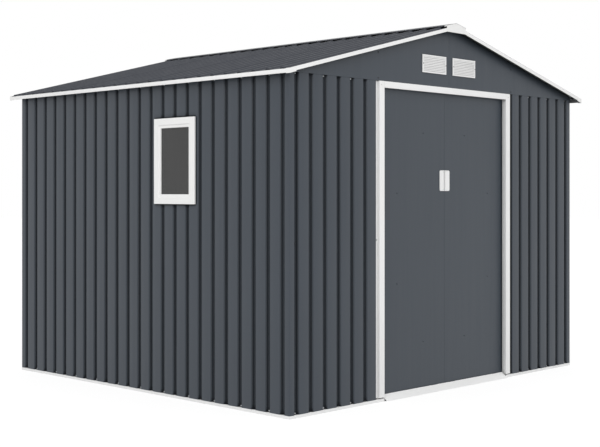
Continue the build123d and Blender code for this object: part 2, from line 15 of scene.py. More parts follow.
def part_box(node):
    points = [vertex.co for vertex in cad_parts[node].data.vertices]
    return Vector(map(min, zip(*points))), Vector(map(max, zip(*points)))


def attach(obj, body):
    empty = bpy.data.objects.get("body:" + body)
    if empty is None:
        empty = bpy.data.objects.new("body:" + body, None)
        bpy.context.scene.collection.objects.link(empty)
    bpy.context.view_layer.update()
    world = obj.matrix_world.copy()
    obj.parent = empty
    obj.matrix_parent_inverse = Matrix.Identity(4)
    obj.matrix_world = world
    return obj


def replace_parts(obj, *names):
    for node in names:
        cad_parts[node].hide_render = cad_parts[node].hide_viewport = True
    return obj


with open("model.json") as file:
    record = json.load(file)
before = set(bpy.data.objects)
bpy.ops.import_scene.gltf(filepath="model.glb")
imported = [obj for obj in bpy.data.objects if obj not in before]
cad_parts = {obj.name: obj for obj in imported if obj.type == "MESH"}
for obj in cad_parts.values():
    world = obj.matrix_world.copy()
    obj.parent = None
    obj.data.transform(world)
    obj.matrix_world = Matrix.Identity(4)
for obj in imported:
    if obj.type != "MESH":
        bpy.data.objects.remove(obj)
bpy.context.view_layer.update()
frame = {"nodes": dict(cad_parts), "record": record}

MM = 0.001
FRONT_RIBS = 25
ROOF_RIB_DEPTH = 9 * MM
SMOOTH_ANGLE = math.radians(32)

log = logging.getLogger("shed")

Triple = tuple[float, float, float]
Colour = Triple
Point = tuple[float, float]
Cell = tuple[int, int]
Spot = tuple[Vector, Vector]
Place = Callable[[float, float, float], Vector]
BMesh = bmesh.types.BMesh
Socket = bpy.types.NodeSocket
Material = bpy.types.Material
World = bpy.types.World


class Body(Enum):
    """Bodies of the frame that pieces ride on."""

    SHED = "shed_body"
    LEFT_DOOR = "left_door_leaf"
    RIGHT_DOOR = "right_door_leaf"


class Slot(Enum):
    """Material slots of the record."""

    GREY_SHEET = "grey_sheet"
    WHITE_TRIM = "white_trim"
    ZINC_STEEL = "zinc_steel"
    WHITE_PLASTIC = "white_plastic"
    DARK_PLASTIC = "dark_plastic"
    WINDOW_GLAZING = "window_glazing"


DOORS = ((-1, "left_door", Body.LEFT_DOOR), (1, "right_door", Body.RIGHT_DOOR))


@dataclass(frozen=True)
class PaintedShade:
    """Painted shade: how much darker a finish's colour is painted where neighbouring faces close in, read
    from ambient occlusion.

    It looks as far as its reach. Its factor is 1 above the open share, and darkest at the closed openness.
    """

    reach: float
    closed: float
    darkest: float
    open_share: float = 0.985
    samples: int = 12


@dataclass(frozen=True)
class Clouds:
    """A cloud pattern: clouds a metre, levels of detail, the values at its ends and its stretch."""

    per_metre: float
    detail: float
    low: float = 0.0
    high: float = 1.0
    stretch: Triple = (1.0, 1.0, 1.0)
    roughness: float = 0.55
    low_share: float = 0.3
    high_share: float = 0.7


class Graph:
    """The node tree of a material or the world, with short calls that add and link its nodes."""

    def __init__(self, owner: Material | World, output: str = "OutputMaterial") -> None:
        """Start an empty tree.

        Args:
            owner: The new material or world.
            output: Kind of its output node.
        """
        self.owner = owner
        owner.use_nodes = True
        self.tree = owner.node_tree
        self.tree.nodes.clear()
        self.output = self.node(output)

    def node(self, kind: str, inputs: dict | None = None, **settings: object) -> bpy.types.Node:
        """Add a node.

        Args:
            kind: Node type without its ShaderNode prefix.
            inputs: Values or sockets for its inputs, by name or place.
            **settings: Properties of the node itself.

        Returns:
            The new node.
        """
        made = self.tree.nodes.new("ShaderNode" + kind)
        for key, value in settings.items():
            setattr(made, key, value)
        for key, value in (inputs or {}).items():
            if isinstance(value, Socket):
                self.tree.links.new(value, made.inputs[key])
            else:
                made.inputs[key].default_value = value
        return made

    def math(self, operation: str, *values: object) -> Socket:
        """Return the result of a math node on numbers or sockets."""
        return self.node("Math", dict(enumerate(values)), operation=operation).outputs[0]

    def spread(self, value: object, low: float, high: float, to_low: object, to_high: object) -> Socket:
        """Return a value moved from one range to another, and held inside it."""
        ends = {"Value": value, "From Min": low, "From Max": high, "To Min": to_low, "To Max": to_high}
        return self.node("MapRange", ends).outputs[0]

    def place(self, stretch: Triple = (1.0, 1.0, 1.0)) -> Socket:
        """Return the surface's place in the shared frame, in metres, stretched along each axis."""
        where = self.node("TexCoord").outputs["Object"]
        return self.node("Mapping", {"Vector": where, "Scale": stretch}).outputs[0]

    def noise(self, clouds: Clouds) -> Socket:
        """Return a cloud pattern as it is, from 0 to 1."""
        sizes = {"Scale": clouds.per_metre, "Detail": clouds.detail, "Roughness": clouds.roughness}
        return self.node("TexNoise", {"Vector": self.place(clouds.stretch), **sizes}).outputs["Fac"]

    def vary(self, clouds: Clouds, middle: float = 0.0) -> Socket:
        """Return a cloud pattern between the values at its ends, about a middle value."""
        ends = (clouds.low_share, clouds.high_share, middle + clouds.low, middle + clouds.high)
        return self.spread(self.noise(clouds), *ends)

    def blend(self, kind: str, share: object, colour: object, other: object) -> Socket:
        """Return two colours blended by a share."""
        inputs = {0: share, 6: colour, 7: other}
        return self.node("Mix", inputs, data_type="RGBA", blend_type=kind).outputs[2]

    def shade(self, colour: Colour, *factors: Socket) -> Socket:
        """Make a colour lighter and darker over the surface.

        Args:
            colour: The plain colour.
            *factors: One or more factors that vary over the surface.

        Returns:
            The colour times all factors.
        """
        factor = factors[0]
        for other in factors[1:]:
            factor = self.math("MULTIPLY", factor, other)
        grey = self.node("CombineColor", {0: factor, 1: factor, 2: factor}).outputs[0]
        return self.blend("MULTIPLY", 1.0, (*colour, 1.0), grey)

    def bump(self, *layers: tuple[Clouds, float]) -> Socket:
        """Roughen the surface.

        Args:
            *layers: Cloud patterns, each with its depth in metres.

        Returns:
            The normal of the roughened surface.
        """
        normal = {}
        for clouds, depth in layers:
            inputs = {"Height": self.noise(clouds), "Distance": depth, "Strength": 1.0, **normal}
            normal = {"Normal": self.node("Bump", inputs).outputs[0]}
        return normal["Normal"]

    def painted_shade(self, painted_shade: PaintedShade) -> Socket:
        """Paint shade into the surface's colour where neighbouring faces close in, read from ambient
        occlusion.

        Args:
            painted_shade: How far it looks, and how dark the painted shade gets.

        Returns:
            A painted-shade factor that is 1 on open faces.
        """
        # Painted shade: ambient occlusion, mapped to a factor that darkens the colour in grooves, creases and
        # under overhangs.
        reach = {"Distance": painted_shade.reach}
        openness = self.node("AmbientOcclusion", reach, samples=painted_shade.samples).outputs["AO"]
        ends = {"From Min": painted_shade.closed, "From Max": painted_shade.open_share, "To Min": painted_shade.darkest}
        inputs = {"Value": openness, **ends, "To Max": 1.0}
        return self.node("MapRange", inputs, interpolation_type="SMOOTHSTEP").outputs[0]

    def seen(self) -> Socket:
        """Tell rays that see a backdrop itself from those that only carry its light.

        Returns:
            1 for rays that see it straight, in gloss or through glass, and 0 for the others.
        """
        path = self.node("LightPath").outputs
        seen = self.math("MAXIMUM", path["Is Camera Ray"], path["Is Glossy Ray"])
        return self.math("MAXIMUM", seen, path["Is Transmission Ray"])

    def finish(self, shader: bpy.types.Node) -> Material | World:
        """Link the last shader to the output and return the tree's owner."""
        self.tree.links.new(shader.outputs[0], self.output.inputs["Surface"])
        return self.owner


@dataclass(frozen=True)
class Finish:
    """A surface finish, made once as a node material."""

    name: str
    slot: Slot

    def material(self) -> Material:
        """Return the finish's material, making it the first time."""
        found = bpy.data.materials.get(self.name)
        return found or self.build(Graph(bpy.data.materials.new(self.name)))

    def build(self, graph: Graph) -> Material:
        """Make the material's nodes; each kind of finish has its own."""
        raise NotImplementedError

    def dress(self, piece: bpy.types.Object) -> None:
        """Give a piece this finish in place of any other."""
        piece.data.materials.clear()
        piece.data.materials.append(self.material())


@dataclass(frozen=True)
class CoatedSteel(Finish):
    """Factory paint on thin steel sheet: satin and slightly wavy, with painted shade where ribs and edges
    close in.
    """

    colour: Colour
    painted_shade: PaintedShade
    waviness: float = 0.2 * MM
    roughness: float = 0.42
    gloss: float = 0.5
    reverse: Colour | None = None
    inward_limit: float = -0.4
    tone: Clouds = Clouds(1.1, 3.0, 0.97, 1.03)
    grain: Clouds = Clouds(420.0, 2.0, 0.975, 1.025)
    streaks: Clouds = Clouds(34.0, 3.0, -0.05, 0.05, (1.0, 1.0, 0.04))
    waves: Clouds = Clouds(3.2, 1.0)
    peel: Clouds = Clouds(900.0, 1.0)
    peel_depth: float = 0.05 * MM

    def inward(self, graph: Graph) -> Socket:
        """Find the back of a sheet.

        Args:
            graph: The material.

        Returns:
            1 on faces that look back to the middle of the shed, and 0 on the others.
        """
        geometry = graph.node("NewGeometry").outputs
        level = {0: geometry["Position"], 1: (1.0, 1.0, 0.0)}
        flat = graph.node("VectorMath", level, operation="MULTIPLY").outputs[0]
        outward = graph.node("VectorMath", {0: flat, 1: geometry["Normal"]}, operation="DOT_PRODUCT")
        return graph.math("LESS_THAN", outward.outputs["Value"], self.inward_limit)

    def build(self, graph: Graph) -> Material:
        """Make the paint.

        Args:
            graph: The empty material.

        Returns:
            The finished material.
        """
        tone = graph.vary(self.tone)
        # Painted shade darkens both the colour and the specular level where faces close in.
        painted_shade = graph.painted_shade(self.painted_shade)
        colour = graph.shade(self.colour, tone, graph.vary(self.grain), painted_shade)
        # Inward faces take the reverse colour: for the trims a primer grey that is partly painted shade on
        # their shaded inner faces.
        if self.reverse:
            colour = graph.blend("MIX", self.inward(graph), colour, graph.shade(self.reverse, tone, painted_shade))
        inputs = {
            "Base Color": colour,
            "Roughness": graph.vary(self.streaks, self.roughness),
            "Specular IOR Level": graph.math("MULTIPLY", painted_shade, self.gloss),
            "Normal": graph.bump((self.waves, self.waviness), (self.peel, self.peel_depth)),
        }
        return graph.finish(graph.node("BsdfPrincipled", inputs))


@dataclass(frozen=True)
class ZincCoat(Finish):
    """Hot-dip zinc on the inside rails and tracks, with its spangle of crystals."""

    colour: Colour
    spangle: float
    metal_share: float = 0.85
    crystal_tones: Point = (0.78, 1.08)
    crystal_roughness: Point = (0.34, 0.52)
    tone: Clouds = Clouds(6.0, 3.0, 0.92, 1.04)
    grain: Clouds = Clouds(300.0, 2.0)
    grain_depth: float = 0.06 * MM

    def build(self, graph: Graph) -> Material:
        """Make the zinc coat.

        Args:
            graph: The empty material.

        Returns:
            The finished material.
        """
        cells = graph.node("TexVoronoi", {"Vector": graph.place(), "Scale": self.spangle}, feature="F1")
        crystal = graph.node("SeparateColor", {0: cells.outputs["Color"]}).outputs
        bright = graph.spread(crystal[0], 0.0, 1.0, *self.crystal_tones)
        inputs = {
            "Base Color": graph.shade(self.colour, bright, graph.vary(self.tone)),
            "Metallic": self.metal_share,
            "Roughness": graph.spread(crystal[1], 0.0, 1.0, *self.crystal_roughness),
            "Normal": graph.bump((self.grain, self.grain_depth)),
        }
        return graph.finish(graph.node("BsdfPrincipled", inputs))


@dataclass(frozen=True)
class MouldedPlastic(Finish):
    """Moulded plastic or rubber with a fine spark-eroded grain, and painted shade where faces close in."""

    colour: Colour
    painted_shade: PaintedShade = PaintedShade(16 * MM, 0.5, 0.42)
    roughness: float = 0.4
    grain_depth: float = 0.05 * MM
    refraction: float = 1.46
    tone: Clouds = Clouds(9.0, 2.0, 0.985, 1.015)
    haze: Clouds = Clouds(60.0, 3.0, -0.04, 0.06)
    grain: Clouds = Clouds(1400.0, 2.0)

    def build(self, graph: Graph) -> Material:
        """Make the plastic.

        Args:
            graph: The empty material.

        Returns:
            The finished material.
        """
        # Painted shade darkens the colour where faces close in.
        inputs = {
            "Base Color": graph.shade(self.colour, graph.vary(self.tone), graph.painted_shade(self.painted_shade)),
            "Roughness": graph.vary(self.haze, self.roughness),
            "IOR": self.refraction,
            "Normal": graph.bump((self.grain, self.grain_depth)),
        }
        return graph.finish(graph.node("BsdfPrincipled", inputs))


@dataclass(frozen=True)
class Glazing(Finish):
    """Smoke-grey acrylic sheet that lets a little of the room through."""

    colour: Colour
    clear_share: float
    refraction: float = 1.45
    tone: Clouds = Clouds(4.0, 2.0, 0.98, 1.02)
    haze: Clouds = Clouds(22.0, 3.0, 0.08, 0.14)
    waves: Clouds = Clouds(5.0, 1.0)
    waviness: float = 0.4 * MM

    def build(self, graph: Graph) -> Material:
        """Make the pane's material.

        Args:
            graph: The empty material.

        Returns:
            The finished material.
        """
        inputs = {
            "Base Color": graph.shade(self.colour, graph.vary(self.tone)),
            "Roughness": graph.vary(self.haze),
            "IOR": self.refraction,
            "Alpha": 1.0 - self.clear_share,
            "Normal": graph.bump((self.waves, self.waviness)),
        }
        return graph.finish(graph.node("BsdfPrincipled", inputs))


SLATE: Colour = (0.033, 0.043, 0.057)
ROOF_SLATE: Colour = (0.044, 0.0485, 0.0605)
# Grey back coat of the sheets; on the trims' inner faces it is also painted shade, darker than white would
# show in shade.
PRIMER_AND_SHADE_GREY: Colour = (0.2, 0.205, 0.21)
WHITE: Colour = (0.822, 0.822, 0.82)
# Painted light: a white lighter than WHITE, so that the shaded door sill renders as bright as the other white
# trims.
SILL_WHITE_PAINTED_LIGHT: Colour = (0.93, 0.93, 0.928)
BLACK: Colour = (0.022, 0.023, 0.025)
SCREW_GREY: Colour = (0.03, 0.033, 0.038)
ZINC_GREY: Colour = (0.56, 0.58, 0.6)
SMOKE: Colour = (0.053, 0.053, 0.053)
WALL_WAVES = 0.5 * MM
ROOF_WAVES = 0.3 * MM

# Many finishes below share one colour and differ in painted shade: how far and how dark ambient occlusion
# darkens grooves, undersides, the gables under the verges and the frame's recesses.
WALL_PAINT = CoatedSteel("wall_paint", Slot.GREY_SHEET, SLATE, PaintedShade(28 * MM, 0.74, 0.19), WALL_WAVES)
DOOR_PAINT = CoatedSteel("door_paint", Slot.GREY_SHEET, SLATE, PaintedShade(15 * MM, 0.3, 0.85), WALL_WAVES)
GABLE_PAINT = CoatedSteel("gable_paint", Slot.GREY_SHEET, SLATE, PaintedShade(55 * MM, 0.55, 0.55), WALL_WAVES)
ROOF_PAINTED_SHADE = PaintedShade(25 * MM, 0.45, 0.3)
ROOF_PAINT = CoatedSteel("roof_paint", Slot.GREY_SHEET, ROOF_SLATE, ROOF_PAINTED_SHADE, ROOF_WAVES, 0.6, 0.25)
RIDGE_PAINTED_SHADE = PaintedShade(6 * MM, 0.2, 0.6)
RIDGE_PAINT = CoatedSteel("ridge_paint", Slot.GREY_SHEET, ROOF_SLATE, RIDGE_PAINTED_SHADE, ROOF_WAVES, 0.5, 0.4)
BACK_PAINTED_SHADE = PaintedShade(25 * MM, 0.3, 0.8)
BACK_COAT = CoatedSteel("back_coat", Slot.GREY_SHEET, PRIMER_AND_SHADE_GREY, BACK_PAINTED_SHADE, ROOF_WAVES, 0.6, 0.3)
WHITE_PAINT = CoatedSteel("white_paint", Slot.WHITE_TRIM, WHITE, PaintedShade(40 * MM, 0.6, 0.45))
JAMB_PAINT = CoatedSteel("jamb_paint", Slot.WHITE_TRIM, WHITE, PaintedShade(30 * MM, 0.5, 0.5))
BASE_PAINT = CoatedSteel("base_paint", Slot.WHITE_TRIM, WHITE, PaintedShade(10 * MM, 0.3, 0.8))
# Painted light: the sill's lightened white, with weak painted shade.
SILL_PAINTED_LIGHT = CoatedSteel("sill_painted_light", Slot.WHITE_TRIM, SILL_WHITE_PAINTED_LIGHT, PaintedShade(10 * MM, 0.3, 0.9))
# Painted shade in part: the trims' inward faces take the primer grey instead of shaded white.
TRIM_PAINT = CoatedSteel("trim_paint", Slot.WHITE_TRIM, WHITE, PaintedShade(20 * MM, 0.4, 0.6), reverse=PRIMER_AND_SHADE_GREY)
ZINC = ZincCoat("spangled_zinc", Slot.ZINC_STEEL, ZINC_GREY, spangle=70.0)
WHITE_PLASTIC = MouldedPlastic("white_plastic", Slot.WHITE_PLASTIC, WHITE)
VENT_PLASTIC = MouldedPlastic("vent_plastic", Slot.WHITE_PLASTIC, WHITE, PaintedShade(6 * MM, 0.2, 0.7))
PULL_PLASTIC = MouldedPlastic("pull_plastic", Slot.WHITE_PLASTIC, WHITE, PaintedShade(8 * MM, 0.4, 0.75))
BLACK_PLASTIC = MouldedPlastic(
    "black_plastic", Slot.DARK_PLASTIC, BLACK, roughness=0.42, grain_depth=0.06 * MM
)
DARK_SCREW = MouldedPlastic("dark_screw", Slot.DARK_PLASTIC, SCREW_GREY, roughness=0.5)
SMOKED_PANE = Glazing("smoked_pane", Slot.WINDOW_GLAZING, SMOKE, clear_share=0.25)

MAIN_FINISHES = (WALL_PAINT, WHITE_PAINT, ZINC, WHITE_PLASTIC, BLACK_PLASTIC, SMOKED_PANE)
FINISH_OF_SLOT: dict[str, Finish] = {made.slot.value: made for made in MAIN_FINISHES}
FINISH_OF_NODE: dict[str, Finish] = {
    "left_door": DOOR_PAINT,
    "right_door": DOOR_PAINT,
    "door_sill": SILL_PAINTED_LIGHT,
    "front_gable": GABLE_PAINT,
    "back_gable": GABLE_PAINT,
    "base_rail_left": BASE_PAINT,
    "base_rail_right": BASE_PAINT,
    "base_rail_front": BASE_PAINT,
    "base_rail_back": BASE_PAINT,
}


def offset_line(points: list[Point], distance: float) -> list[Point]:
    """Return a line beside another, mitred at its corners.

    Args:
        points: The line's points.
        distance: How far to the right of the line's run, in metres.

    Returns:
        As many points on the new line.
    """
    line = [Vector(point) for point in points]
    normals = [Vector((b.y - a.y, a.x - b.x)).normalized() for a, b in zip(line, line[1:])]
    before = [normals[0], *normals]
    after = [*normals, normals[-1]]
    shifts = [(a + b) / (1 + a.dot(b)) for a, b in zip(before, after)]
    return [tuple(point + shift * distance) for point, shift in zip(line, shifts)]


def round_bends(points: list[Point], radius: float, steps: int) -> list[Point]:
    """Return a line whose corners are round.

    Args:
        points: The line's points, with sharp corners.
        radius: Radius of each bend.
        steps: Straight steps in each bend.

    Returns:
        The points of the rounded line.
    """
    line = [Vector(point) for point in points]
    rounded = [points[0]]
    for before, corner, after in zip(line, line[1:], line[2:]):
        arriving = (corner - before).normalized()
        leaving = (after - corner).normalized()
        reach = radius * math.tan(abs(arriving.angle_signed(leaving)) / 2)
        start = corner - arriving * reach
        end = corner + leaving * reach
        for step in range(steps + 1):
            share = step / steps
            rounded.append(tuple(start.lerp(corner, share).lerp(corner.lerp(end, share), share)))
    return [*rounded, points[-1]]


def join_rings(mesh: BMesh, rings: list[list[Vector]], capped: bool = True) -> None:
    """Skin a row of rings.

    Args:
        mesh: The mesh that gains the faces.
        rings: The places round each ring, as many on each.
        capped: Whether a face closes the first and the last ring. Otherwise these two are joined.
    """
    rows = [[mesh.verts.new(place) for place in ring] for ring in rings]
    for row, after in zip(rows, rows[1:] if capped else rows[1:] + rows[:1]):
        for start in range(len(row)):
            end = (start + 1) % len(row)
            mesh.faces.new([row[start], row[end], after[end], after[start]])
    if capped:
        mesh.faces.new(rows[0])
        mesh.faces.new(rows[-1])


def add_prism(mesh: BMesh, outline: list[Point], levels: Point, place: Place) -> None:
    """Add a closed straight prism to a mesh.

    Args:
        mesh: The mesh that gains it.
        outline: The points round its section.
        levels: Where it starts and ends along its length.
        place: Turns a section point and a level into a place in the frame.
    """
    join_rings(mesh, [[place(*point, level) for point in outline] for level in levels])


def soften(mesh: BMesh) -> None:
    """Shade a mesh's bends smooth and keep its cut edges sharp.

    Args:
        mesh: The whole mesh.
    """
    bmesh.ops.recalc_face_normals(mesh, faces=mesh.faces)
    for face in mesh.faces:
        face.smooth = True
    for edge in mesh.edges:
        edge.smooth = edge.calc_face_angle(math.pi) < SMOOTH_ANGLE


def add_object(name: str, data: bpy.types.ID) -> bpy.types.Object:
    """Put a new object into the scene.

    Args:
        name: Its name.
        data: Its mesh, lamp or camera.

    Returns:
        The new object.
    """
    made = bpy.data.objects.new(name, data)
    bpy.context.scene.collection.objects.link(made)
    return made


def make_piece(
    name: str, mesh: BMesh, finish: Finish, body: Body, reverse: Finish | None = None
) -> bpy.types.Object:
    """Turn a finished mesh into a piece that rides on a body.

    Args:
        name: Name of the piece.
        mesh: Its mesh, freed here.
        finish: Its finish.
        body: The body it moves with.
        reverse: Finish of a sheet's far side.

    Returns:
        The new object.
    """
    bmesh.ops.recalc_face_normals(mesh, faces=mesh.faces)
    data = bpy.data.meshes.new(name)
    mesh.to_mesh(data)
    mesh.free()
    piece = add_object(name, data)
    for made in (finish, reverse or finish):
        data.materials.append(made.material())
    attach(piece, body.value)
    log.info("%s: %d faces, %s, on %s", name, len(data.polygons), finish.name, body.value)
    return piece


@dataclass
class Hole:
    """A rectangular hole through a sheet: its ends along the section's second axis, and its levels."""

    low: float
    high: float
    bottom: float
    top: float

    def split(self, points: list[Point]) -> list[Point]:
        """Give a section points at the hole's ends.

        Args:
            points: The section's points.

        Returns:
            The same section with the new points among them.
        """
        out = [points[0]]
        for a, b in zip(points, points[1:]):
            inside = [edge for edge in (self.low, self.high) if (edge - a[1]) * (edge - b[1]) < 0]
            cuts = sorted((edge - a[1]) / (b[1] - a[1]) for edge in inside)
            out += [tuple(Vector(a).lerp(Vector(b), cut)) for cut in cuts]
            out.append(b)
        return out

    def takes(self, a: Point, b: Point, levels: Point) -> bool:
        """Tell whether the hole takes the stretch of sheet between two points and two levels."""
        middle = (a[1] + b[1]) / 2
        return self.low < middle < self.high and self.bottom < sum(levels) / 2 < self.top


@dataclass
class BentSheet:
    """A thin sheet bent along a section and drawn straight on."""

    thickness: float
    radius: float = 3 * MM
    steps: int = 4

    def add(
        self, mesh: BMesh, points: list[Point], levels: list[float], place: Place, hole: Hole | None = None
    ) -> None:
        """Add one bent sheet to a mesh.

        Args:
            mesh: The mesh that gains it.
            points: The section's sharp points, with the thickness on their right.
            levels: Where the sheet starts and ends along its length.
            place: Turns a section point and a level into a place in the frame.
            hole: A hole to leave open.
        """
        near = round_bends(points, self.radius, self.steps)
        if hole:
            near = hole.split(near)
            levels = sorted([*levels, hole.bottom, hole.top])
        sides = []
        for side in (near, offset_line(near, self.thickness)):
            sides.append([[mesh.verts.new(place(*point, level)) for level in levels] for point in side])
        kept = {
            (i, j)
            for i in range(len(near) - 1)
            for j in range(len(levels) - 1)
            if not (hole and hole.takes(near[i], near[i + 1], (levels[j], levels[j + 1])))
        }
        for cell in kept:
            self.add_cell(mesh, sides, cell, kept)

    @staticmethod
    def add_cell(mesh: BMesh, sides: list, cell: Cell, kept: set[Cell]) -> None:
        """Add both faces of one stretch of sheet, and its cut edges where no other stretch follows.

        Args:
            mesh: The mesh that gains them.
            sides: Rows of corners on the near side and on the far side.
            cell: The stretch's place along the section and along the length.
            kept: All stretches of the sheet.
        """
        near, far = sides
        i, j = cell
        ring = [(i, j), (i + 1, j), (i + 1, j + 1), (i, j + 1)]
        mesh.faces.new([near[a][b] for a, b in ring])
        mesh.faces.new([far[a][b] for a, b in reversed(ring)]).material_index = 1
        neighbours = [(i, j - 1), (i + 1, j), (i, j + 1), (i - 1, j)]
        for (a, b), (c, d), neighbour in zip(ring, ring[1:] + ring[:1], neighbours):
            if neighbour not in kept:
                mesh.faces.new([near[a][b], far[a][b], far[c][d], near[c][d]])


@dataclass
class RibProfile:
    """The trapezoid ribs that walls and roof share."""

    pitch: float
    width: float = 36 * MM
    floor: float = 16 * MM
    depth: float = 13 * MM
    lap: float = 10 * MM
    lap_clearance: float = 0.3 * MM
    sheet: float = 0.7 * MM
    panel_ribs: int = 6

    @property
    def lap_step(self) -> float:
        """How far a lapped lip lies behind the one before it."""
        return self.sheet + self.lap_clearance

    @property
    def total(self) -> float:
        """Depth from the open face to the back of a lapped rib."""
        return self.depth + self.sheet + self.lap_step

    def centre(self, rib: int) -> float:
        """Return the run of a rib's middle."""
        return (rib + 0.5) * self.pitch

    def outline(
        self,
        first: int,
        last: int,
        start: float | None = None,
        end: float | None = None,
        step: float | None = None,
    ) -> list[Point]:
        """Return the run and depth of a panel's open face.

        Args:
            first: The rib that it starts on.
            last: The rib that it ends on.
            start: Run of a plain start, before the first whole rib.
            end: Run of a plain end, after the last whole rib.
            step: How far the last lip lies behind the rib floor.

        Returns:
            The section's sharp points.
        """
        step = self.lap_step if step is None else step
        points = [] if start is None else [(start, 0.0)]
        for rib in range(first, last + 1):
            centre = self.centre(rib)
            opens = rib > first or start is not None
            closes = rib < last or end is not None
            depth = self.depth if closes else self.depth + step
            if opens:
                points += [(centre - self.width / 2, 0.0), (centre - self.floor / 2, depth)]
            else:
                points.append((centre - self.lap / 2, depth))
            if closes:
                points += [(centre + self.floor / 2, depth), (centre + self.width / 2, 0.0)]
            else:
                points.append((centre + self.lap / 2, depth))
        return points if end is None else [*points, (end, 0.0)]


@dataclass
class Walls:
    """The ribbed walls: panels of six ribs in their order round the plan, with rounded bends."""

    ribs: RibProfile
    width: float
    depth: float
    bottom: float
    top: float
    order: tuple[str, ...] = (
        "corner_panel_front_left",
        "left_wall_window_panel",
        "left_wall_panel",
        "corner_panel_back_left",
        *("back_wall_panels",) * 4,
        "corner_panel_back_right",
        *("right_wall_panels",) * 2,
        "corner_panel_front_right",
        "front_wall_right",
        *("doorway",) * 2,
        "front_wall_left",
    )
    window_gap: float = 9.2 * MM

    @property
    def corners(self) -> tuple[float, float, float, float]:
        """Runs of the four corners round the plan, from the front left one."""
        return (0.0, self.depth, self.depth + self.width, 2 * self.depth + self.width)

    @property
    def panels(self) -> list[tuple[int, str]]:
        """Places in the order, and nodes, of the panels that are there."""
        return [(panel, node) for panel, node in enumerate(self.order) if node != "doorway"]

    def plan(self, run: float, depth: float) -> Point:
        """Find a point on the plan.

        Args:
            run: Distance round the walls from the front left corner.
            depth: Distance behind the wall's face.

        Returns:
            The plan point.
        """
        run = run % (2 * (self.depth + self.width))
        left = -self.width / 2
        front = -self.depth / 2
        if run < self.corners[1]:
            return (left + depth, front + run)
        if run < self.corners[2]:
            return (left + run - self.corners[1], -front - depth)
        if run < self.corners[3]:
            return (-left - depth, -front - run + self.corners[2])
        return (-left - run + self.corners[3], front + depth)

    def facing(self, run: float) -> Vector:
        """Return the direction that the wall faces at a run."""
        inside = Vector((*self.plan(run, 1.0), 0.0))
        return Vector((*self.plan(run, 0.0), 0.0)) - inside

    def section(self, panel: int) -> list[Point]:
        """Draw one panel on the plan.

        Args:
            panel: Its place in the order.

        Returns:
            Its plan points, with one at a corner that it passes.
        """
        first = panel * self.ribs.panel_ribs - 1
        last_of_row = self.order[panel] == "front_wall_right"
        points = self.ribs.outline(first, first + self.ribs.panel_ribs, step=0.0 if last_of_row else None)
        points += [(run, 0.0) for run in self.corners if points[0][0] < run < points[-1][0]]
        return [self.plan(*point) for point in sorted(points)]

    def window_hole(self) -> Hole:
        """Measure the hole that the window's spigot passes.

        Returns:
            The hole, a gap wider all round than the pane.
        """
        low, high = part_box("window_pane")
        gap = self.window_gap
        return Hole(low.y - gap, high.y + gap, low.z - gap, high.z + gap)

    def build(self) -> None:
        """Make each wall node's panels as one piece that stands for it."""
        sheet = BentSheet(self.ribs.sheet)
        for node in dict.fromkeys(name for _, name in self.panels):
            hole = self.window_hole() if node == "left_wall_window_panel" else None
            mesh = bmesh.new()
            for panel, name in self.panels:
                if name == node:
                    sheet.add(mesh, self.section(panel), [self.bottom, self.top], self.stand, hole)
            soften(mesh)
            piece = make_piece(node + "_sheet", mesh, WALL_PAINT, Body.SHED, BACK_COAT)
            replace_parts(piece, node)

    @staticmethod
    def stand(x: float, y: float, level: float) -> Vector:
        """Return the place above a plan point."""
        return Vector((x, y, level))

    def groove(self, rib: int, level: float) -> Spot:
        """Return a place on a groove's floor at a level, and the way it faces."""
        run = self.ribs.centre(rib)
        return Vector((*self.plan(run, self.ribs.depth), level)), self.facing(run)


